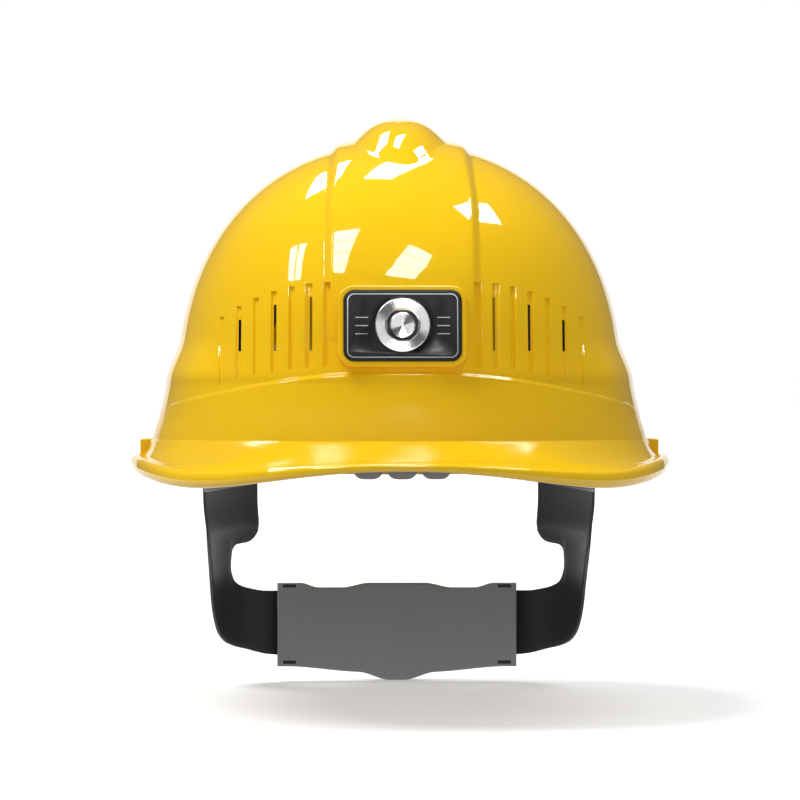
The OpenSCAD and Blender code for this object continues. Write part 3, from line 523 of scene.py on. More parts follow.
class Nodes:
    """A node tree, with one call that makes any node."""

    def __init__(self, tree):
        self.tree = tree

    def put(self, socket, value):
        if isinstance(value, Link):
            self.tree.links.new(value.socket, socket)
        elif socket.type == "RGBA" and len(value) == 3:
            socket.default_value = (*value, 1.0)
        else:
            socket.default_value = value

    def node(self, kind, settings=None, inputs=None, output=0):
        """A new node by its type, its settings, and the values or links of its sockets."""
        node = self.tree.nodes.new(kind)
        for name, value in (settings or {}).items():
            setattr(node, name, value)
        for name, value in (inputs or {}).items():
            self.put(node.inputs[name], value)
        return Link(self, node.outputs[output] if len(node.outputs) else None)

    def background_rays(self):
        """1 for the rays that see the background: from the camera, off gloss and through glass."""
        kinds = [self.node("ShaderNodeLightPath", output=name)
                 for name in ("Is Camera Ray", "Is Glossy Ray", "Is Transmission Ray")]
        return (kinds[0] + kinds[1] + kinds[2]).least(1.0)


class Finish(Nodes):
    """A material under a Principled shader, with short calls for its nodes."""

    def __init__(self, name, **constants):
        self.material = bpy.data.materials.new(name)
        self.material.use_nodes = True
        super().__init__(self.material.node_tree)
        self.shader = self.tree.nodes["Principled BSDF"]
        for socket, value in constants.items():
            self.shader.inputs[socket.replace("_", " ")].default_value = value

    def place(self):
        """Object coordinates in millimetres."""
        where = self.node("ShaderNodeTexCoord", output="Object")
        return self.node("ShaderNodeVectorMath", {"operation": "SCALE"}, {0: where, "Scale": 1 / MM})

    def noise(self, place, pitch, detail=2.0, rough=0.5):
        return self.node("ShaderNodeTexNoise", {}, {"Vector": place, "Scale": 1 / pitch, "Detail": detail,
                                                    "Roughness": rough})

    def parts(self, place):
        """The three numbers of a vector."""
        first = self.node("ShaderNodeSeparateXYZ", {}, {0: place})
        return [Link(self, output) for output in first.socket.node.outputs]

    def attribute(self, name):
        return self.node("ShaderNodeAttribute", {"attribute_name": name}, output="Fac")

    def blend(self, share, first, second):
        mixed = self.node("ShaderNodeMix", {"data_type": "RGBA"}, {"Factor": share}, output=2)
        self.put(mixed.socket.node.inputs[6], first)
        self.put(mixed.socket.node.inputs[7], second)
        return mixed

    def bump(self, height, strength, distance):
        """Relief from a height of 0 to 1, over a distance in millimetres."""
        self.put(self.shader.inputs["Normal"], self.node(
            "ShaderNodeBump", {}, {"Strength": strength, "Distance": distance * MM, "Height": height}))

    def feed(self, socket, value):
        self.put(self.shader.inputs[socket], value)

    def skin(self, share, first, second, roughness):
        """A colour that runs from one to another by a share, and the roughness."""
        self.feed("Base Color", self.blend(share, first, second))
        self.feed("Roughness", roughness)


def toned(colour, *shares):
    """A colour times one share, or each of its channels times its own."""
    return tuple(c * share for c, share in zip(colour, shares * 3))


def settle(piece, body, slot, material, node):
    """Gives a finished piece its material and body, and hides the node that it stands for; the slot is not
    used.
    """
    piece.data.materials.clear()
    piece.data.materials.append(material)
    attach(piece, body)
    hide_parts(node)
    return piece


def gloss_yellow(colour):
    """Polished shell with painted shade that deepens its yellow on the panel and the brim, and less glossy
    round the skirt.
    """
    finish = Finish("gloss_yellow", IOR=1.46)
    place = finish.place()
    height = finish.parts(place)[2]
    cloud = finish.noise(place, 60.0, 2.0)
    smudge = finish.noise(place, 14.0, 4.0, 0.6)
    tone = finish.blend(cloud.eased(0.3, 0.7), toned(colour, 0.96, 0.94, 0.8), colour)
    rough = 0.035 + smudge.eased(0.35, 0.75) * 0.035 + height.within(*DULL_SKIRT_Z) * 0.13
    # Painted shade: the yellow is deeper between the belt's heights, on the panel and the brim.
    finish.skin(height.within(*PAINTED_SHADE_BELT_Z), tone, toned(colour, 0.84), rough)
    finish.bump(finish.noise(place, 3.5, 1.0), 0.5, 0.012)
    return finish.material


def moulded(name, colour, ior, grain, cloud, light, rough, relief):
    """Moulded plastic: a fine grain, and a slow change to a lighter tone."""
    finish = Finish(name, IOR=ior)
    place = finish.place()
    fine = finish.noise(place, *grain)
    finish.skin(finish.noise(place, *cloud), colour, toned(colour, light), rough[0] + fine * rough[1])
    finish.bump(fine, *relief)
    return finish.material


def satin_charcoal(colour):
    return moulded("satin_charcoal", colour, 1.38, grain=(0.35, 2.0), cloud=(20.0, 3.0), light=1.25,
                   rough=(0.42, 0.12), relief=(0.35, 0.05))


def matte_grey(colour):
    return moulded("matte_grey", colour, 1.4, grain=(0.3, 3.0, 0.6), cloud=(25.0, 2.0), light=1.12,
                   rough=(0.6, 0.15), relief=(0.5, 0.06))


def dark_lacquer(colour, silver):
    """Dark plate with a thin silver border and three short lines on each side of the medallion."""
    finish = Finish("dark_lacquer", IOR=1.36)
    place = finish.place()
    grain = finish.noise(place, 0.4, 2.0)
    x, y, z = finish.parts(place)
    across, up = x.size(), (z - BADGE_Z) * (1 / BADGE_COS)
    half_w, half_h = BADGE_W / 2 - BORDER_INSET - BORDER_R, BADGE_H / 2 - BORDER_INSET - BORDER_R
    beside, above = across - half_w, up.size() - half_h
    corner = (beside.most(0.0) ** 2.0 + above.most(0.0) ** 2.0) ** 0.5
    border = (corner + beside.most(above).least(0.0) - BORDER_R).size() - LINE_W / 2
    row = ((up + LINE_PITCH / 2 + LINE_PITCH) % LINE_PITCH - LINE_PITCH / 2).size() - LINE_W / 2
    ends = (across - LINE_MIDDLE_X).size() - LINE_HALF_L
    lines = row.most(ends).most(up.size() - 1.5 * LINE_PITCH)
    line = 1 - border.least(lines).eased(0.0, 0.08)
    finish.skin(line, finish.blend(grain, colour, toned(colour, 1.5)), silver, 0.3 + grain * 0.1)
    finish.feed("Metallic", line * 0.9)
    finish.bump(grain * 0.2 + line, 0.3, 0.05)
    return finish.material


def turned_metal(colour):
    """Turned metal with painted highlight and shade in two opposite fans round its centre, set crosswise on
    the button and its ring.
    """
    finish = Finish("turned_metal", Metallic=1.0)
    place = finish.place()
    cloud = finish.noise(place, 3.0, 2.0)
    x, y, z = finish.parts(place)
    up = (z - BADGE_Z) * (1 / BADGE_COS)
    reach = (x * x + up * up).most(0.01)
    on_ring = reach.eased((BUTTON_D / 2 + 0.1) ** 2, (BUTTON_D / 2 + 0.6) ** 2)
    # Painted highlight and shade: the colour runs from dark to bright by the angle round the medallion's
    # centre.
    painted_fans = (x * up / reach) * (on_ring * 2 - 1) + cloud * 0.2 - 0.1
    finish.skin(painted_fans.eased(-0.5, -0.08), toned(colour, 0.2), colour, 0.2 + cloud * 0.06)
    return finish.material


def plated_steel(colour):
    finish = Finish("plated_steel", Metallic=1.0)
    cloud = finish.noise(finish.place(), 2.0, 3.0)
    finish.skin(cloud, colour, toned(colour, 0.8), 0.28 + cloud * 0.15)
    return finish.material


def acetal(colour):
    finish = Finish("acetal", IOR=1.48)
    place = finish.place()
    finish.skin(finish.noise(place, 6.0, 2.0), colour, toned(colour, 1.1), 0.38)
    finish.bump(finish.noise(place, 0.5, 1.0), 0.3, 0.03)
    return finish.material


def knit_fabric(colour):
    finish = Finish("knit_fabric", Sheen_Weight=0.4, Sheen_Roughness=0.6)
    place = finish.place()
    x, y, z = finish.parts(place)
    stitch = ((x * 4.2).sine() * (z * 5.4).sine()) * 0.5 + 0.5
    fuzz = finish.noise(place, 0.6, 3.0, 0.7)
    cloth = stitch * 0.6 + fuzz * 0.4
    finish.skin(cloth, toned(colour, 0.6), colour, 0.85 + fuzz * 0.1)
    finish.bump(cloth, 0.7, 0.25)
    return finish.material


def webbing(colour):
    """Woven tape: slanted yarns across the strap, read from its own along and across lengths."""
    finish = Finish("webbing", Sheen_Weight=0.3, Sheen_Roughness=0.5)
    along, across = finish.attribute("along"), finish.attribute("across")
    rib = ((along * 4.6) + ((across * 2.1).sine() * 1.6)).sine() * 0.5 + 0.5
    yarn = (across * 4.2).sine() * 0.5 + 0.5
    weave = rib * 0.6 + yarn * 0.4
    finish.skin(weave, toned(colour, 0.55), colour, 0.75 + weave * 0.15)
    finish.bump(weave, 0.8, 0.2)
    return finish.material


# Shell
def arch_drop(angle):
    """How far the forehead panel's top edge has dropped at an angle; it rises again behind the panel."""
    x = PANEL_SKIRT_HALF_W * np.abs(sind(np.minimum(from_front(angle), 90))) ** (2 / PLAN_POWER)
    drop = PANEL_DROP * (np.minimum(x, PANEL_HALF_W) / PANEL_HALF_W) ** ARCH_POWER
    return drop * (1 - ease((from_front(angle) - ARCH_BACK_ANGLE) / ARCH_BACK_SPAN))


def rear_share(angle):
    return between(from_front(angle), *REAR_ROOT_ANGLES)


def eased_list(angle, values):
    """A value that eases from one listed angle of the lip to the next."""
    a = from_front(angle)
    result = np.full(a.shape, float(values[0]))
    for i in range(len(values) - 1):
        share = between(a, LIP_ANGLES[i], LIP_ANGLES[i + 1])
        result = np.where(a >= LIP_ANGLES[i], mix(values[i], values[i + 1], share), result)
    return result


def shell_levels():
    """Levels of the rows from the crown to the peak's root, before the rows bend with the panel's arch."""
    turns = np.arange(90, 5, -0.8)
    top = DOME_BASE_Z + DOME_H * sind(turns) ** (2 / DOME_POWER)
    high, edge, low = FINE_ROWS_Z
    return np.concatenate([top, np.arange(high, edge, -0.75), np.arange(edge, low, -0.25),
                           np.linspace(low, ROOT_Z, 32)])


def shell_angles():
    """Angles of the columns, closer at the panel's ends."""
    plain = np.arange(0, 360, 0.75)
    near = np.arange(-1.6, 1.7, 0.2)
    edges = np.concatenate([PANEL_END_ANGLE + near, 360 - PANEL_END_ANGLE + near])
    return np.unique(np.round(np.concatenate([plain, edges]), 3))


def panel_rise(angle, level):
    """Height of the forehead panel over the dome at an angle and an unbent level."""
    beside = (PANEL_END_ANGLE - from_front(angle)) * math.pi / 180 * PANEL_SKIRT_HALF_W
    under = PANEL_TOP_Z - level
    r = PANEL_CORNER_R
    inside = r - np.hypot(np.maximum(r - beside, 0), np.maximum(r - under, 0))
    return PANEL_RISE * ease((inside + PANEL_FILLET / 2) / PANEL_FILLET)


def rim_rows(angles):
    """Rows of the peak and rim, from the outer root over the lip to the inner root."""
    rear = rear_share(angles)
    root_z = mix(ROOT_Z, REAR_ROOT_Z, rear)
    outer = dome_at(angles, root_z, panel_rise(angles, ROOT_Z))
    inner = dome_at(angles, root_z, INNER_ROOT_OFF)
    lip_x, lip_y = oval(angles, RIM_HALF_W, PEAK_REACH, RIM_REAR, RIM_POWER)
    lip_z = eased_list(angles, LIP_LEVELS)
    half_t = eased_list(angles, LIP_SIZES) / 2
    bead = eased_list(angles, LIP_BEADS)
    length = np.hypot(lip_x - outer[:, 0], lip_y - outer[:, 1])
    top_z = lip_z + half_t
    q_bead = 1 - np.minimum(2.4 * half_t, 0.5 * length) / length
    q_edge = 1 - np.minimum(1.2 * half_t, 0.26 * length) / length
    q_lip = 1 - 0.3 * half_t / length
    under_z = mix(lip_z - half_t + 1.5, lip_z - half_t, rear)
    # From which wall, how far out to the lip, and at what height
    controls = [
        (outer, 0 * length, root_z),
        (outer, 1.2 / length, root_z - 0.9),
        (outer, 0.36 * q_bead, mix(root_z, top_z, 0.55)),
        (outer, 0.72 * q_bead, mix(root_z, top_z, 0.93)),
        (outer, q_bead, top_z + 0.3 * bead),
        (outer, q_edge, top_z + bead),
        (outer, q_lip, lip_z + 0.75 * half_t + 0.5 * bead),
        (outer, 1 + 0 * length, lip_z + 0.25 * half_t),
        (outer, 1 + 0 * length, lip_z - 0.5 * half_t),
        (outer, 1 - 0.35 * half_t / length, lip_z - 0.95 * half_t),
        (outer, q_edge, lip_z - half_t),
        (inner, 0.75 * q_bead, under_z),
        (inner, 0.3 * q_bead, mix(root_z - ROOT_DROP - 1, under_z, mix(0.6, 1, rear))),
        (inner, 1.0 / length, root_z - ROOT_DROP - 0.6),
    ]
    rows = [np.stack([mix(wall[:, 0], lip_x, q), mix(wall[:, 1], lip_y, q), z + 0 * q], -1)
            for wall, q, z in controls]
    return chaikin([*rows, inner - [0, 0, ROOT_DROP]], 2)


def chaikin(rows, rounds):
    """Cuts the corners of a run of rows, whose first and last row stay."""
    rows = np.asarray(rows)
    for _ in range(rounds):
        start, end = rows[:-1], rows[1:]
        cut = np.empty((2 * len(start), *rows.shape[1:]))
        cut[0::2], cut[1::2] = mix(start, end, 0.25), mix(start, end, 0.75)
        rows = np.concatenate([rows[:1], cut[1:-1], rows[-1:]])
    return rows


def shell_body():
    """The moulded wall with its panel, peak and rim, as one closed skin from crown to crown."""
    angles = shell_angles()
    levels = shell_levels()[:, None]
    edge, low = FINE_ROWS_Z[1:]
    bend = np.where(levels > low, 1 - ease((levels - edge) / ARCH_FADE),
                    np.clip((levels - ROOT_Z) / (low - ROOT_Z), 0, 1))
    z = levels - arch_drop(angles) * bend
    z = z - (ROOT_Z - REAR_ROOT_Z) * rear_share(angles) * np.clip(1 - (levels - ROOT_Z) / REAR_FADE, 0, 1)
    outside = dome_at(angles + 0 * levels, z, panel_rise(angles, levels))
    rim = rim_rows(angles)
    turns = np.concatenate([np.arange(0, 86, 1.6), [90]])
    inner_z = np.concatenate([[20.0, 24.0, 28.0, 33.0, 38.0],
                              DOME_BASE_Z + (DOME_H - WALL) * sind(turns) ** (2 / DOME_POWER)])[:, None]
    inside = dome_at(angles + 0 * inner_z, inner_z + 0 * angles, -WALL)
    rows = np.concatenate([outside[1:], rim[1:], inside[:-1]])
    count = len(angles)
    crown_z = DOME_BASE_Z + DOME_H
    points = np.concatenate([rows.reshape(-1, 3), [[0, 0, crown_z], [0, 0, crown_z - WALL]]])
    faces = ring_faces(len(rows), count, caps=False)
    top, under, last = len(points) - 2, len(points) - 1, (len(rows) - 1) * count
    for i in range(count):
        k = (i + 1) % count
        faces.append((top, k, i))
        faces.append((under, last + i, last + k))
    return solid("shell_skin", points, faces)


def dome_section(x, turn, off):
    """Points of the dome in planes of constant x: turn runs from the front over the crown to the rear."""
    front = np.where(turn < 90, DOME_FRONT, DOME_REAR) + off
    half_w, height = DOME_HALF_W + off, DOME_H + off
    c, s = np.abs(cosd(turn)), sind(turn)
    low, high = np.zeros(np.shape(x + turn)), np.full(np.shape(x + turn), 1.2)
    for _ in range(40):
        reach = (low + high) / 2
        plan = ((np.abs(x) / half_w) ** PLAN_POWER + (reach * c) ** PLAN_POWER) ** (DOME_POWER / PLAN_POWER)
        outside = plan + (reach * s) ** DOME_POWER > 1
        low, high = np.where(outside, low, reach), np.where(outside, reach, high)
    y = -np.sign(cosd(turn)) * front * reach * c
    return np.stack([x + 0 * turn, y, DOME_BASE_Z + height * reach * s], -1)


def band_profile():
    """Across the centre band: shares of its flat half, places down its wall, and shares of its rise."""
    half = [(x, 0.0, 1.0) for x in np.linspace(0, 1, 29)[1:-1]] + [(1.0, *place) for place in BAND_WALL]
    return np.array([(-x, -place, rise) for x, place, rise in half[::-1]] + [(0.0, 0.0, 1.0)] + half)


def bump_rise(x, y, height):
    r = np.hypot(x / BUMP_HALF_W, (y - BUMP_Y) / BUMP_HALF_L)
    plan, side = BUMP_POWERS
    return height * np.maximum(0, 1 - r**plan) ** side


def crown_blanket(band_rise, bump_height):
    """The centre band with the bump on it, as a closed skin that sinks into the dome."""
    shares, places, rises = band_profile().T[:, None, :]
    turns = np.arange(*BAND_TURNS)[:, None]
    ahead = turns < 90
    level = dome_section(0 * shares, turns, 0.0)[..., 2]
    narrow = np.where(ahead, between(level, *BAND_WIDE_Z), 1)
    top_w, foot_w = mix(*BAND_TOP_HALF_W, narrow), mix(*BAND_FOOT_HALF_W, narrow)
    x = shares * top_w + places * (foot_w - top_w)
    level = dome_section(x, turns, 0.0)[..., 2]
    front_fade = ease((level - BAND_FRONT_Z) / BAND_FRONT_FADE)
    rear_fade = ease((level - BAND_REAR_Z) / BAND_REAR_FADE)
    sunk = BAND_SINK * ease((BAND_SINK_Z - level) / BAND_SINK_FADE)
    off = band_rise * rises * np.where(ahead, front_fade, rear_fade) - np.where(ahead, sunk, 1 - rear_fade)
    top = dome_section(x, turns, off)
    top[..., 2] += bump_rise(top[..., 0], top[..., 1], bump_height)
    low = dome_section(x, turns, BAND_ROOT_OFF)
    return loft("crown_blanket", np.concatenate([top, low[:, ::-1]], axis=1))


def louvre_x(i):
    return LOUVRE_FIRST_X + i * LOUVRE_PITCH


def louvre_top(i):
    return BADGE_Z + LOUVRE_TOP[0] - LOUVRE_TOP[1] * i * i


def louvre_low(i):
    return BADGE_Z - LOUVRE_LOW[0] - LOUVRE_LOW[1] * i - LOUVRE_LOW[2] * i * i


def louvre_cutter(i, side, groove):
    """Groove with a steep wall towards the centre and a floor that eases out to the surface."""
    wall = louvre_x(i) - LOUVRE_W / 2
    reach = LOUVRE_REACH[0] if i < 2 else LOUVRE_REACH[1]
    across = np.array([0.0, 0.15, 0.4, 1.2, *np.linspace(1.2, reach, 6)[1:]])
    depth = np.array([0.0, 0.75, 1.0, 1.0, *(1 - ease(np.linspace(0, 1, 6)[1:]))]) * groove
    depth[-1], depth[0] = -0.02, -0.02
    rings = []
    for z in np.linspace(louvre_low(i), louvre_top(i), 24):
        x = wall + across
        floor = np.column_stack([x, front_y(x, z) + depth, np.full(len(x), z)])
        out = floor[::-1] * [1, 0, 1] + np.column_stack([0 * x, front_y(x[::-1], z) - 3, 0 * x])
        rings.append(np.concatenate([floor, out]) * [side, 1, 1])
    return loft(f"louvre_{i}", rings)


def slit_cutter(i, side):
    """A slot right through the wall of the shell, at the steep side of a louvre."""
    x, top = louvre_x(i) - LOUVRE_W / 2, louvre_top(i) - SLIT_SHORT
    y = float(front_y(x, (SLIT_LOW_Z + louvre_top(i) - SLIT_SHORT) / 2))
    return sided_block(f"slit_{i}", side, (x, y - 8, SLIT_LOW_Z), (x + SLIT_W, y + 12, top), 0.25)


def badge_matrix():
    """The frame of the badge, which leans back with the dome: its z points out of the shell."""
    y = float(front_y(0, BADGE_Z)) - FRAME_PROUD
    lean = front_y(0, BADGE_Z + BADGE_PROBE) - front_y(0, BADGE_Z - BADGE_PROBE)
    tilt = math.atan2(float(lean), 2 * BADGE_PROBE)
    return Matrix.Translation((0, y, BADGE_Z)) @ Matrix.Rotation(math.pi / 2 - tilt, 4, "X")


def badge_outline(grow):
    def outline(inset):
        r = BADGE_R + grow
        return rounded_rectangle(BADGE_W + 2 * (grow - inset), BADGE_H + 2 * (grow - inset), r - inset, 10)
    return outline


def loop_place(angle, off):
    return oval(angle, LOOP_HALF_W + off, LOOP_HALF_L + off, LOOP_HALF_L + off, 2)


def key_matrix(angle, side=1):
    """The frame of a hanger key: x points outwards from the headband's loop."""
    x, y = loop_place(angle, 0)
    turn = math.atan2(-cosd(angle) / LOOP_HALF_L, sind(angle) / LOOP_HALF_W)
    return Matrix.Scale(side, 4, (1, 0, 0)) @ Matrix.Translation((x, y, 0)) @ Matrix.Rotation(turn, 4, "Z")


def each_key(name, low, high, r):
    return [placed(block(f"{name}_{side}_{angle}", low, high, r), key_matrix(angle, side))
            for side in (1, -1) for angle in KEY_ANGLES]


def flipped(obj):
    """Turns the faces of a mirrored mesh outwards again."""
    work = bmesh.new()
    work.from_mesh(obj.data)
    bmesh.ops.recalc_face_normals(work, faces=work.faces)
    work.to_mesh(obj.data)
    work.free()
    return obj


def key_sockets():
    """Sockets moulded inside the wall for the keys' tongues."""
    low_u, half = TONGUE_U - SOCKET_WALL, KEY_W / 2 + SOCKET_WALL
    low_z, high_z = SOCKET_Z
    boxes = each_key("socket", (low_u, -half, low_z), (low_u + SOCKET_DEPTH, half, high_z), 1.0)
    angles = np.arange(0, 360, 3.0)
    core = loft("core", [dome_at(angles, z + 0 * angles, -1.0) for z in (25, 30, 36, 42, 46, 50, 54, 58)])
    return combine(flipped(joined("sockets", boxes)), core, "INTERSECT")


def slot_blocks():
    """The housings of the accessory slots beside the rim."""
    parts = []
    half = SLOT_L / 2 + SLOT_WALL
    low_z, high_z = SLOT_BLOCK_Z
    for side in (1, -1):
        box = block(f"slot_block_{side}", (SLOT_IN_X - SLOT_WALL, SLOT_Y - half, low_z),
                    (SLOT_IN_X + SLOT_W + SLOT_LIP, SLOT_Y + half, high_z), 0.7, 3)
        parts.append(placed(box, Matrix.Scale(side, 4, (1, 0, 0))))
    return flipped(joined("slot_blocks", parts))


def shell_openings(sides):
    """What is cut right into the shell: slits in the louvres, accessory slots and the keys' pockets."""
    slits = [slit_cutter(i, side) for side in sides for i in range(1, LOUVRE_COUNT - 1, 2)]
    slots = [sided_block(f"slot_{side}", side, (SLOT_IN_X, SLOT_Y - SLOT_L / 2, -12),
                         (SLOT_IN_X + SLOT_W, SLOT_Y + SLOT_L / 2, SLOT_ROOF_Z), 0.4) for side in sides]
    half = KEY_W / 2 + KEY_GAP
    low_z, high_z = POCKET_Z
    pockets = each_key("pocket", (TONGUE_U - KEY_GAP, -half, low_z),
                       (TONGUE_U + KEY_T + KEY_GAP, half, high_z), 0.2)
    return flipped(joined("openings", slits + slots + pockets))


def shell_mesh(band_rise, bump_height, groove):
    """The whole moulding: its skin with all that is moulded on it, and then what is cut out of it."""
    sides = (1, -1)
    border, pocket = badge_outline(FRAME_BORDER), badge_outline(POCKET_GAP)
    border = rounded_stack("badge_frame", border, -FRAME_ROOT, 0, 0.2, FRAME_ROUND, 5)
    pocket = rounded_stack("badge_pocket", pocket, -BADGE_SEAT, 4, 0.1, 0.1, 2)
    louvres = [louvre_cutter(i, side, groove) for side in sides for i in range(LOUVRE_COUNT)]
    shell = shell_body()
    for tool, operation in ((crown_blanket(band_rise, bump_height), "UNION"),
                            (placed(border, badge_matrix()), "UNION"), (slot_blocks(), "UNION"),
                            (key_sockets(), "UNION"), (placed(pocket, badge_matrix()), "DIFFERENCE"),
                            (flipped(joined("louvres", louvres)), "DIFFERENCE"),
                            (shell_openings(sides), "DIFFERENCE")):
        combine(shell, tool, operation)
    shell.name = "moulded_shell"
    return shade(shell, 28.0)


# Badge and medallion
def ring_grooves(inner, outer, height, pitch, depth):
    """A turned face: its profile from the outer to the inner radius with fine grooves."""
    count = int((outer - inner) / pitch)
    radii = np.linspace(outer, inner, 2 * count + 1)
    return [(r, height - (depth if i % 2 else 0)) for i, r in enumerate(radii)]


def medallion_parts():
    """The ring and the button, with turned grooves on their faces."""
    base = MEDALLION_SEAT
    ring_r, hole_r, button_r = MEDALLION_D / 2, BUTTON_D / 2 + 0.9, BUTTON_D / 2
    top = base + MEDALLION_RISE
    ring = [(hole_r, base), (ring_r, base), (ring_r, top - 0.5), (ring_r - 0.15, top - 0.15),
            (ring_r - 0.5, top), *ring_grooves(hole_r + 0.9, ring_r - 0.6, top - 0.05, 0.3, 0.026),
            (hole_r + 0.4, top - 0.5), (hole_r, top - 1.0)]
    button = [(0.02, base), (button_r, base), (button_r, top - 0.5), (button_r - 0.12, top - 0.28),
              (button_r - 0.4, top - 0.2)]
    button += [(r, h - 0.3 * (1 - (r / button_r) ** 2))
               for r, h in ring_grooves(0.25, button_r - 0.5, top - 0.2, 0.28, 0.02)]
    button += [(0.02, top - 0.5)]
    return (placed(lathe("medallion_rim", ring, 128, 8.0, close=True), badge_matrix()),
            placed(lathe("medallion_centre", button, angle=8.0), badge_matrix()))


def badge_face():
    plate = rounded_stack("badge_face", badge_outline(0), -BADGE_SEAT, BADGE_T - BADGE_SEAT, 0.1, 0.35)
    seat_r = MEDALLION_D / 2 + 0.05
    seat = lathe("seat", [(0.01, MEDALLION_SEAT), (seat_r, MEDALLION_SEAT), (seat_r, 3), (0.01, 3)])
    return placed(combine(plate, seat, "DIFFERENCE"), badge_matrix())


# Cradle
def rounded_section(low, high, half_t, roundness, spans):
    """Outline of a band's section: thickness u from -half_t to half_t and height from low to high."""
    points = []
    for side in (1, -1):
        heights = np.linspace(low + roundness, high - roundness, spans + 1)
        if side < 0:
            heights = heights[::-1]
        for z in heights:
            points.append((side * half_t, z))
        end = high if side > 0 else low
        for a in (30, 60, 90, 120, 150):
            points.append((side * half_t * cosd(a), end - side * roundness * (1 - sind(a))))
    return points


def band_ring(angle, off, thickness, low, high, roundness, spans):
    """Section of a band at an angle of the loop; off is its outer face."""
    x, y = loop_place(angle, off - thickness / 2)
    normal = np.array([sind(angle) / LOOP_HALF_W, -cosd(angle) / LOOP_HALF_L])
    normal /= np.linalg.norm(normal)
    return [(x + u * normal[0], y + u * normal[1], z)
            for u, z in rounded_section(low, high, thickness / 2, roundness, spans)]


def headband_mesh():
    """The front half of the band, deep over the brow and lower at the temples."""
    rings = []
    for a in np.arange(-BAND_END_ANGLE, BAND_END_ANGLE + 0.1, 0.75):
        side = float(ease(from_front(a) / 90))
        rings.append(band_ring(a, BAND_OFF, BAND_T, mix(*BAND_LOW_Z, side), mix(*BAND_HIGH_Z, side), 0.8, 6))
    return loft("headband_strip", rings)


def brow_pad_mesh():
    """Soft pad of sewn lobes, crowned on both faces and drawn in at the seams between them."""
    lobe_angle = math.degrees(LOBE_PITCH / LOOP_HALF_L)
    steps = spans = 14
    around = [(1, share) for share in np.linspace(0, 1, spans)]
    around += [(-1, share) for share in np.linspace(1, 0, spans)]
    rings = []
    for a in np.linspace(-LOBES, LOBES, int(2 * LOBES * steps) + 1):
        from_seam = abs(math.cos(math.pi * a))
        low = (PAD_LOW_Z + PAD_SEAM_RISE * (1 - from_seam) ** 2.2
               + PAD_END_RISE * float(ease((abs(a) - PAD_END_LOBE) / PAD_END_FADE)))
        swell = 0.35 + 0.65 * from_seam**0.5
        ring = []
        for side, share in around:
            crown = (1 - abs(2 * share - 1) ** 4) ** 0.5
            thick = (PAD_T / 2 + (PAD_SWELL if side < 0 else 0)) * swell * crown
            x, y = loop_place(a * lobe_angle, PAD_OFF - PAD_T / 2 + side * thick)
            ring.append((x, y, mix(low, PAD_TOP_Z, share)))
        rings.append(ring)
    return loft("brow_cushion", rings, 80.0)


def strap_line(angle, top, steps):
    """Middle line of a crown strap from its key over the head to the opposite key."""
    start = np.array(loop_place(angle, FOOT_U - 0.3 - STRAP_T / 2))
    turns = np.linspace(0, 90, steps)
    half = [(1.0, STRAP_LOW_Z + (STRAP_SHOULDER_Z - STRAP_LOW_Z) * i / 4) for i in range(4)]
    half += [(float(cosd(t)) ** (2 / STRAP_POWER) if t < 90 else 0.0,
              float(mix(STRAP_SHOULDER_Z, top, sind(t) ** (2 / STRAP_POWER)))) for t in turns]
    first = [(start[0] * share, start[1] * share, z) for share, z in half]
    return np.array(first + [(-x, -y, z) for x, y, z in first[-2::-1]]), start


def crown_strap_mesh(name, angle, layer):
    """A ribbon that lies flat on its keys and crosses over the straps below it."""
    line, start = strap_line(angle, STRAP_TOP_Z + layer * STRAP_LAYER, STRAP_STEPS)
    count = len(line)
    across = np.array([-start[1], start[0], 0]) / np.hypot(*start)
    normal = math.atan2(-cosd(angle) / LOOP_HALF_L, sind(angle) / LOOP_HALF_W) + math.pi / 2
    at_key = np.array([math.cos(normal), math.sin(normal), 0])
    along = np.gradient(line, axis=0)
    along /= np.linalg.norm(along, axis=1)[:, None]
    rings = []
    for i, point in enumerate(line):
        near_end = float(ease(1 - min(i, count - 1 - i) / STRAP_TWIST_STEPS))
        wide = mix(across, at_key, near_end)
        wide /= np.linalg.norm(wide)
        out = np.cross(along[i], wide)
        section = rounded_section(-STRAP_W / 2, STRAP_W / 2, STRAP_T / 2, 0.5, 8)
        rings.append([point + out * u + wide * w for u, w in section])
    strap = loft(name, rings)
    lengths = np.concatenate([[0], np.cumsum(np.linalg.norm(np.diff(line, axis=0), axis=1))])
    widths = np.array([w for _, w in section])
    for attribute, values in (("along", np.repeat(lengths, len(widths))), ("across", np.tile(widths, count))):
        data = strap.data.attributes.new(attribute, "FLOAT", "POINT")
        data.data.foreach_set("value", values[:len(strap.data.vertices)].astype(np.float32))
    return strap


# Nape arms
def arm_share(z):
    return ease((ARM_MORPH_Z - z) / ARM_MORPH)


def arm_depth(x):
    return (1 - (x / (LOOP_HALF_W - ARM_TUCK)) ** NAPE_POWER) ** (1 / NAPE_POWER)


def arm_place(angle, z, off, end_y):
    share = arm_share(z)
    power = mix(2, NAPE_POWER, share)
    rear = mix(LOOP_HALF_L, end_y / arm_depth(ARM_END_X), share)
    half_w = LOOP_HALF_W - ARM_TUCK * ease((ARM_TUCK_Z - z) / ARM_TUCK_FADE)
    x, y = oval(angle, half_w + off, LOOP_HALF_L + off, rear + off, power)
    return np.stack([x, y, z + 0 * x], -1)


def arm_angle(x, power):
    return 180 - math.degrees(math.asin((x / (LOOP_HALF_W - ARM_TUCK)) ** (power / 2)))


def spline(points, steps):
    """A smooth line through points, with even steps between them."""
    p = np.asarray(points, float)
    p = np.concatenate([[2 * p[0] - p[1]], p, [2 * p[-1] - p[-2]]])
    rows = []
    for a, b, c, d in zip(p, p[1:], p[2:], p[3:]):
        for t in np.arange(steps) / steps:
            bend, turn = 2 * a - 5 * b + 4 * c - d, 3 * b - a - 3 * c + d
            rows.append(0.5 * (2 * b + (c - a) * t + bend * t**2 + turn * t**3))
    return np.array([*rows, p[-2]])


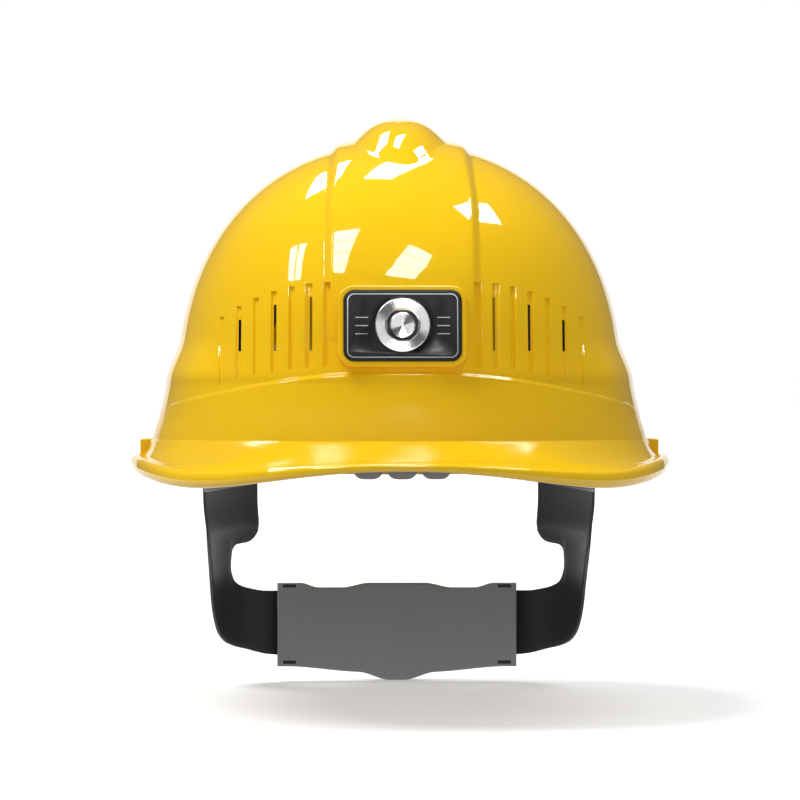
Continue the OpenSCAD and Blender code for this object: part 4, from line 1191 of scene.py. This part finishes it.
def nape_arm_mesh(name, side, end_y):
    """A wing beside the headband's end that narrows and swings round into the ratchet."""
    wing, end = 132, arm_angle(ARM_IN_X, NAPE_POWER)
    # Edges of the arm by their angles and heights
    outer = [(wing, 14), (wing - 2, 18.5), (wing - 5, 20), (120, 20.4), (108, 21), (98, 21), (97, 10),
             (98.5, -4), (99.5, -18), (102, -32), (106, -50), (113, -61.5), (121, -67.3),
             (130, STRAP_LO_Z + 5.3), (142, STRAP_LO_Z + 3), (152, STRAP_LO_Z + 0.8), (end, STRAP_LO_Z)]
    inner = [(wing, -20), (wing - 1, -23.2), (wing - 3, -24.8), (125.5, -25.3), (123, -25.7), (121.9, -26.8),
             (121.6, -28.4), (122.2, -30.6), (123, -33.4), (124.4, -36.6), (126.6, -39.6), (130, -42.6),
             (136, STRAP_HI_Z + 2.6), (143, STRAP_HI_Z + 1.2), (149, STRAP_HI_Z + 0.3), (154, STRAP_HI_Z),
             (end, STRAP_HI_Z)]
    shares = np.linspace(0, 1, ARM_SPANS + 1)
    face = np.full(ARM_SPANS + 1, BAND_T / 2)
    face[[0, -2, -1]] *= ARM_EDGE_SHARE
    rings = []
    for start, stop in zip(spline(outer, 6), spline(inner, 6)):
        angle, z = mix(start[0], stop[0], shares), mix(start[1], stop[1], shares)
        front, back = (arm_place(angle, z, off - BAND_T / 2, end_y) for off in (face, -face))
        rings.append(np.concatenate([front, back[::-1]]) * [side, 1, 1])
    return loft(name, rings, 50.0)


# Ratchet case
def case_top(x):
    ear, middle = COVER_HALF_W - CASE_EAR_W, CASE_MIDDLE_W
    a = np.abs(x)
    raised = np.maximum(ease((a - ear) / CASE_EAR_FADE), 1 - ease((a - middle) / middle))
    return STRAP_HI_Z + CASE_DIP + (CASE_EAR - CASE_DIP) * raised


def case_low(x):
    belly = sum(share * (1 - ease((np.abs(x) - start) / fade)) for share, start, fade in CASE_BELLY_SHARES)
    return STRAP_LO_Z - CASE_FOOT - CASE_BELLY * belly


def case_outline(inset):
    half = COVER_HALF_W - inset
    x = np.linspace(-half, half, 105)
    low, top = np.column_stack([x, case_low(x) + inset]), np.column_stack([x, case_top(x) - inset])
    return np.concatenate([low, top[::-1]])


def nape_cover_mesh():
    """Cover of the ratchet with rounded edges and a slot in each corner."""
    plate = rounded_stack("cover", case_outline, 0, COVER_T, 0.9, 0.2, 5)
    stand = Matrix(((1, 0, 0, 0), (0, 0, 1, NAPE_Y), (0, 1, 0, 0), (0, 0, 0, 1)))
    w, h = HOOK_SLOT_HALF
    slots = [block("hook_slot", (x - w, NAPE_Y - 1, z - h), (x + w, NAPE_Y + COVER_T + 1, z + h), 0)
             for x in (HOOK_SLOT_IN - COVER_HALF_W, COVER_HALF_W - HOOK_SLOT_IN) for z in HOOK_SLOT_Z]
    return shade(combine(flipped(placed(plate, stand)), joined("hook_slots", slots), "DIFFERENCE"))


# Studio
# The floor's height is in millimetres, and the other places and distances of the studio in metres
FLOOR_Z = -87.2
FLOOR_HALF_W = 30.0
FLOOR_GLOW = 0.45
STUDIO_CENTRE = (0.0, 0.0, 0.09)
SUN_TARGET = (0.0, 0.0, 0.04)
SENSOR_W = 36.0
VIEW_MIDDLE_X = 0.0002
FLAG_DISTANCE = 4.0
FLAG_TURN = 158.0
WINDOW_DISTANCE = 3.0
WINDOW_BAR = 0.06

# Windows by their corners, as turns from the front and heights in degrees, with the columns and rows of their
# panes and the share of a pane's width that the upright beside it takes
WINDOWS = (
    (((-70, 62), (-44, 71), (-33, 44), (-47, 42)), 1, 4, 0.0),
    (((6, 64), (20, 57), (5.5, 40), (-7, 43.5)), 1, 4, 0.0),
    (((-92, 47), (-83, 54), (-65, 39), (-74, 36)), 2, 4, 0.22),
    (((102, 74), (128, 57), (107, 53), (84, 67)), 2, 1, 0.06),
    (((-136, 52), (-154, 58), (-169, 45), (-160, 42)), 1, 2, 0.0),
    (((-160, 66), (-175, 55), (171, 52), (-177, 70)), 2, 1, 0.06),
)
# Corners of the near card that the medallion reflects, in millimetres
BADGE_CARD = ((-15, -153.5, 79), (15, -153.5, 79), (15, -163, 104), (-15, -163, 104))
# Places on the crown bump, in millimetres, and the turns and heights in which its near card stands off
BUMP_CARD_POINTS = ((8.6, -47.4, 136.4), (10.2, -50.4, 133.5), (7.1, -56.6, 130.5), (4.8, -52.7, 134.2))
BUMP_CARD_TURNS = ((147.8, 48.4), (144.0, 48.1), (149.3, 60.7), (148.2, 62.6))
BUMP_CARD_REACH = 10.0

# Lamps: name, direction that the light comes from, setting of its strength, and spread in degrees
SUNS = (
    ("key_light", (-0.9, -0.05, 1.75), "key", 30.0),
    ("front_fill", (0.2, -2.0, 0.3), "fill", 40.0),
    ("top_fill", (0.5, 0.3, 1.5), "top", 40.0),
)


def direction(turn, height):
    """A place at a distance of 1 from the studio's centre."""
    return np.array([sind(turn) * cosd(height), -cosd(turn) * cosd(height), sind(height)])


def emitter(name, strength):
    """A card's material: it only gives off light."""
    material = bpy.data.materials.new(name)
    material.use_nodes = True
    nodes = Nodes(material.node_tree)
    nodes.tree.nodes.clear()
    glow = nodes.node("ShaderNodeEmission", {}, {"Color": (1.0, 1.0, 1.0), "Strength": strength})
    nodes.node("ShaderNodeOutputMaterial", {}, {"Surface": glow})
    return material


def reflected_card(name, points, faces, material):
    """A card that only reflections show: it lights nothing and casts no shadow."""
    card = linked(name, raw_mesh(name, np.asarray(points) + STUDIO_CENTRE, faces))
    card.data.materials.append(material)
    card.visible_camera = card.visible_diffuse = card.visible_shadow = False
    card.visible_transmission = card.visible_volume_scatter = False


def window_points(corners, columns, rows, upright):
    """Corners of a window's panes, with uprights and bars between them."""
    points, faces = [], []
    a, b, c, d = (direction(*corner) for corner in corners)
    for row in range(rows):
        for column in range(columns):
            for i, j in ((-1, -1), (1, -1), (1, 1), (-1, 1)):
                across = (column + 0.5 + i * (1 - upright) / 2) / columns
                down = (row + 0.5 + j * (1 - WINDOW_BAR) / 2) / rows
                points.append(mix(mix(a, b, across), mix(d, c, across), down) * WINDOW_DISTANCE)
            faces.append(tuple(range(len(points) - 4, len(points))))
    return points, faces


def windows(strength):
    glow = emitter("window_light", strength)
    for i, window in enumerate(WINDOWS):
        reflected_card(f"window_{i}", *window_points(*window), glow)


def grey_flag(strength):
    """A bent grey card over the helmet, open low at the rear, so that the gloss shows more than white."""
    heights = np.linspace(-8, 90, 29)
    ends = mix(FLAG_TURN, 180, ease((heights - 2) / 26))
    points = [direction(turn, height) * FLAG_DISTANCE
              for height, end in zip(heights, ends) for turn in np.linspace(-end, end, 37)]
    faces = ring_faces(len(heights), 37, wrap=False, caps=False)
    reflected_card("grey_flag", points, faces, emitter("flag_grey", strength))


def near_cards(badge, window):
    """A card before the badge, which brightens its metal, and one over the right of the crown bump."""
    bump = [np.asarray(start) + direction(*turn) * BUMP_CARD_REACH
            for start, turn in zip(BUMP_CARD_POINTS, BUMP_CARD_TURNS)]
    for name, corners, strength in (("badge", BADGE_CARD, badge), ("bump", bump, window)):
        reflected_card(f"{name}_card", np.asarray(corners) * MM - STUDIO_CENTRE, [(0, 1, 2, 3)],
                       emitter(f"{name}_light", strength))


def floor():
    """A white floor that keeps the object's shadow and sends no light back up."""
    corners = [(x * FLOOR_HALF_W, y * FLOOR_HALF_W, 0) for x, y in ((-1, -1), (1, -1), (1, 1), (-1, 1))]
    ground = linked("floor", raw_mesh("floor", corners, [(0, 1, 2, 3)]))
    ground.location.z = FLOOR_Z * MM
    ground.visible_diffuse = False
    paint = Finish("floor_white", Base_Color=(0.6, 0.6, 0.6, 1), Roughness=1.0, Specular_IOR_Level=0.0)
    light = paint.node("ShaderNodeEmission", {}, {"Strength": paint.background_rays() * FLOOR_GLOW})
    both = paint.node("ShaderNodeAddShader", {}, {0: Link(paint, paint.shader.outputs[0]), 1: light})
    paint.put(paint.tree.nodes["Material Output"].inputs["Surface"], both)
    ground.data.materials.append(paint.material)


def surround(level):
    """White all round for what sees the background, and a plain level for the light on the object."""
    world = bpy.data.worlds.new("surround")
    world.use_nodes = True
    bpy.context.scene.world = world
    nodes = Nodes(world.node_tree)
    nodes.tree.nodes.clear()
    strength = nodes.background_rays() * (1 - level) + level
    background = nodes.node("ShaderNodeBackground", {}, {"Color": (1.0, 1.0, 1.0), "Strength": strength})
    nodes.node("ShaderNodeOutputWorld", {}, {"Surface": background})


def aimed(name, data, place, target):
    """A lamp or camera at a place, turned to face a target."""
    obj = linked(name, data)
    obj.location = place
    obj.rotation_euler = (Vector(target) - Vector(place)).to_track_quat("-Z", "Y").to_euler()
    return obj


def sun(name, place, power, spread):
    """Broad even light from a side, without a spot of its own on the gloss."""
    data = bpy.data.lights.new(name, "SUN")
    data.energy, data.angle = power, math.radians(spread)
    aimed(name, data, place, SUN_TARGET).visible_glossy = False


def camera(look):
    """A level view of the front, which sees the view width at the helmet's middle."""
    data = bpy.data.cameras.new("view")
    data.sensor_width = SENSOR_W
    data.lens = SENSOR_W * look.distance / look.view_width
    data.clip_end = 50.0
    target = Vector((VIEW_MIDDLE_X, 0.0, look.height))
    place = target + Vector((math.sin(look.turn), -math.cos(look.turn), 0)) * look.distance
    bpy.context.scene.camera = aimed("view", data, place, target)


# Settings
def colour(name, description, default):
    return bpy.props.FloatVectorProperty(name=name, description=description, subtype="COLOR", size=3,
                                         default=default, min=0, max=1)


def length(name, description, default, least=0.0):
    """A length property, whose default is given in millimetres."""
    return bpy.props.FloatProperty(name=name, description=description, default=default * MM, min=least * MM,
                                   subtype="DISTANCE", unit="LENGTH", precision=5)


def number(name, description, default, least=0.0, most=100.0):
    return bpy.props.FloatProperty(name=name, description=description, default=default, min=least, max=most)


class ShellLook(bpy.types.PropertyGroup):
    colour: colour("Colour", "Colour of the moulded shell", (0.95, 0.586, 0.007))
    bump: length("Bump", "Height of the crown bump over the centre band", 7.4)
    band: length("Band", "Height of the centre band over the dome", 2.0)
    groove: length("Louvre Depth", "Depth of the louvres", 1.35)


class BadgeLook(bpy.types.PropertyGroup):
    plate: colour("Plate", "Colour of the badge plate", (0.013, 0.014, 0.017))
    silver: colour("Lines", "Colour of the thin lines on the plate", (0.62, 0.63, 0.64))
    metal: colour("Metal", "Colour of the medallion", (0.86, 0.86, 0.86))


class CradleLook(bpy.types.PropertyGroup):
    trim: colour("Trim", "Colour of the headband, keys and arms", (0.027, 0.028, 0.032))
    webbing: colour("Webbing", "Colour of the crown straps", (0.035, 0.035, 0.038))
    pad: colour("Brow Pad", "Colour of the brow pad", (0.4, 0.41, 0.44))
    edge: length("Edges", "Radius on the edges of the moulded keys and rivets", 0.35)


class RatchetLook(bpy.types.PropertyGroup):
    cover: colour("Cover", "Colour of the nape cover", (0.265, 0.272, 0.283))
    gear: colour("Gear", "Colour of the pinion and the pawl spring", (0.3, 0.3, 0.31))
    steel: colour("Steel", "Colour of the screw and washer", (0.6, 0.6, 0.6))
    edge: length("Edges", "Radius on the edges of the ratchet case", 0.4)


class StudioLook(bpy.types.PropertyGroup):
    distance: length("Distance", "From the camera to the middle of the helmet", 1600.0, 500.0)
    view_width: length("View Width", "Width of what the camera sees at the helmet", 327.2, 50.0)
    height: length("Height", "Height of the camera, which looks level", 35.6)
    turn: bpy.props.FloatProperty(name="Turn", description="Turn of the camera from the front",
                                  default=math.radians(-0.65), subtype="ANGLE", unit="ROTATION")
    ambient: number("Ambient", "Level of the light from all round", 0.46)
    key: number("Key", "Strength of the light from the upper left", 2.45)
    fill: number("Fill", "Strength of the low light from the front", 0.45)
    top: number("Top", "Strength of the light from above", 1.0)
    window: number("Windows", "Brightness of the windows that the gloss shows", 21.0)
    flag: number("Flag", "Brightness of the grey card that the gloss shows", 0.16)
    badge: number("Badge Card", "Brightness of the card that the medallion shows", 1.55)


def trim_material(context):
    """The charcoal of the headband, keys, arms and ratchet, made on first use."""
    return bpy.data.materials.get("satin_charcoal") or satin_charcoal(context.scene.cradle_look.trim)


class HELMET_OT_shell(bpy.types.Operator):
    """Build the moulded shell with its band, bump, louvres, panel, peak and rim"""
    bl_idname = "helmet.shell"
    bl_label = "Shell"

    def execute(self, context):
        look = context.scene.shell_look
        shell = shell_mesh(look.band / MM, look.bump / MM, look.groove / MM)
        settle(shell, "root", "shell_yellow", gloss_yellow(look.colour), "shell")
        return {"FINISHED"}


class HELMET_OT_badge(bpy.types.Operator):
    """Build the badge plate with its turned metal medallion"""
    bl_idname = "helmet.badge"
    bl_label = "Badge"

    def execute(self, context):
        look = context.scene.badge_look
        settle(badge_face(), "root", "badge_dark", dark_lacquer(look.plate, look.silver), "badge_plate")
        metal = turned_metal(look.metal)
        ring, button = medallion_parts()
        settle(ring, "root", "medallion_metal", metal, "medallion_ring")
        settle(button, "root", "medallion_metal", metal, "medallion_button")
        return {"FINISHED"}


class HELMET_OT_headband(bpy.types.Operator):
    """Build the headband and the rivets at its ends"""
    bl_idname = "helmet.headband"
    bl_label = "Headband"

    def execute(self, context):
        trim = trim_material(context)
        settle(headband_mesh(), "root", "band_charcoal", trim, "headband")
        rivets = rounded_copy("band_rivets", "band_rivet_heads", context.scene.cradle_look.edge / MM)
        settle(rivets, "root", "band_charcoal", trim, "band_rivets")
        return {"FINISHED"}


class HELMET_OT_brow_pad(bpy.types.Operator):
    """Build the soft brow pad inside the headband"""
    bl_idname = "helmet.brow_pad"
    bl_label = "Brow Pad"

    def execute(self, context):
        fabric = knit_fabric(context.scene.cradle_look.pad)
        pad = settle(brow_pad_mesh(), "root", "pad_grey", fabric, "brow_pad")
        return {"FINISHED"}


class HELMET_OT_hanger_keys(bpy.types.Operator):
    """Build the six keys that hang the cradle and the headband in the shell"""
    bl_idname = "helmet.hanger_keys"
    bl_label = "Hanger Keys"

    def execute(self, context):
        for node in (f"key_{place}_{side}" for place in ("front", "side", "rear")
                     for side in ("right", "left")):
            key = rounded_copy(node, f"{node}_moulding", context.scene.cradle_look.edge / MM)
            settle(key, "root", "band_charcoal", trim_material(context), node)
        return {"FINISHED"}


class HELMET_OT_crown_straps(bpy.types.Operator):
    """Build the three webbing straps that cross over the head"""
    bl_idname = "helmet.crown_straps"
    bl_label = "Crown Straps"

    def execute(self, context):
        tape = webbing(context.scene.cradle_look.webbing)
        front, side = KEY_ANGLES[:2]
        names = ("strap_front_right", "strap_side", "strap_front_left")
        for layer, (name, angle) in enumerate(zip(names, (front, side, -front))):
            settle(crown_strap_mesh(f"{name}_webbing", angle, layer), "root", "webbing", tape, name)
        return {"FINISHED"}


class HELMET_OT_nape_arms(bpy.types.Operator):
    """Build the two nape arms, which swing round from the headband's ends into the ratchet"""
    bl_idname = "helmet.nape_arms"
    bl_label = "Nape Arms"

    def execute(self, context):
        for side, sign, y in (("right", 1, LAYER_RIGHT_Y), ("left", -1, LAYER_LEFT_Y)):
            arm = nape_arm_mesh(f"nape_arm_{side}_moulding", sign, y + ARM_OFF)
            arm.data.materials.append(trim_material(context))
            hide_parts(f"nape_arm_{side}")
            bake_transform(arm)
        return {"FINISHED"}


class HELMET_OT_ratchet_straps(bpy.types.Operator):
    """Build the two toothed straps inside the ratchet"""
    bl_idname = "helmet.ratchet_straps"
    bl_label = "Ratchet Straps"

    def execute(self, context):
        ends = [((sign * RACK_END_X, 0, 0), (sign, 0, 0)) for sign in (1, -1)]
        for side in ("right", "left"):
            rack = rounded_copy(f"rack_{side}", f"rack_{side}_teeth", 0.2, cuts=ends)
            settle(rack, f"rack_{side}", "band_charcoal", trim_material(context), f"rack_{side}")
        return {"FINISHED"}


class HELMET_OT_ratchet_case(bpy.types.Operator):
    """Build the nape cover and the housing behind it"""
    bl_idname = "helmet.ratchet_case"
    bl_label = "Ratchet Case"

    def execute(self, context):
        look = context.scene.ratchet_look
        settle(nape_cover_mesh(), "nape", "cover_grey", matte_grey(look.cover), "nape_cover")
        housing = rounded_copy("ratchet_housing", "housing_moulding", look.edge / MM)
        settle(housing, "nape", "band_charcoal", trim_material(context), "ratchet_housing")
        return {"FINISHED"}


class HELMET_OT_knob(bpy.types.Operator):
    """Build the knob with its pinion, pawl spring, washer and screw"""
    bl_idname = "helmet.knob"
    bl_label = "Knob"

    def execute(self, context):
        look = context.scene.ratchet_look
        knob = rounded_copy("knob", "knob_moulding", 0.5, 50.0)
        settle(knob, "knob", "band_charcoal", trim_material(context), "knob")
        gear, steel = acetal(look.gear), plated_steel(look.steel)
        for node, body, slot, material, edge in (("pawl_spring", "nape", "acetal_grey", gear, 0.15),
                                                 ("pinion", "knob", "acetal_grey", gear, 0.12),
                                                 ("washer", "knob", "steel", steel, 0.12),
                                                 ("knob_screw", "knob", "steel", steel, 0.15)):
            settle(rounded_copy(node, f"{node}_detail", edge), body, slot, material, node)
        return {"FINISHED"}


class HELMET_OT_studio(bpy.types.Operator):
    """Set the floor, the surround, the lamps and the camera"""
    bl_idname = "helmet.studio"
    bl_label = "Studio"

    def execute(self, context):
        look = context.scene.studio_look
        context.scene.view_settings.view_transform = "Standard"
        surround(look.ambient)
        floor()
        grey_flag(look.flag)
        windows(look.window)
        near_cards(look.badge, look.window)
        for name, place, setting, spread in SUNS:
            sun(name, place, getattr(look, setting), spread)
        camera(look)
        return {"FINISHED"}


PIECES = (HELMET_OT_shell, HELMET_OT_badge, HELMET_OT_headband, HELMET_OT_brow_pad, HELMET_OT_hanger_keys,
          HELMET_OT_crown_straps, HELMET_OT_nape_arms, HELMET_OT_ratchet_straps, HELMET_OT_ratchet_case,
          HELMET_OT_knob, HELMET_OT_studio)
LOOKS = {"shell_look": ShellLook, "badge_look": BadgeLook, "cradle_look": CradleLook,
         "ratchet_look": RatchetLook, "studio_look": StudioLook}


class HELMET_PT_pieces(bpy.types.Panel):
    """Settings and steps of the helmet"""
    bl_label = "Safety Helmet"
    bl_space_type = "VIEW_3D"
    bl_region_type = "UI"
    bl_category = "Helmet"

    def draw(self, context):
        for name, look in LOOKS.items():
            box = self.layout.box()
            for setting in look.__annotations__:
                box.prop(getattr(context.scene, name), setting)
        for piece in PIECES:
            self.layout.operator(piece.bl_idname)


def register():
    for kind in (*LOOKS.values(), *PIECES, HELMET_PT_pieces):
        bpy.utils.register_class(kind)
    for name, look in LOOKS.items():
        setattr(bpy.types.Scene, name, bpy.props.PointerProperty(type=look))


def unregister():
    for name in LOOKS:
        delattr(bpy.types.Scene, name)
    for kind in reversed((*LOOKS.values(), *PIECES, HELMET_PT_pieces)):
        bpy.utils.unregister_class(kind)


def main():
    register()
    for piece in PIECES:
        group, name = piece.bl_idname.split(".")
        getattr(getattr(bpy.ops, group), name)()


if __name__ == "__main__":
    main()
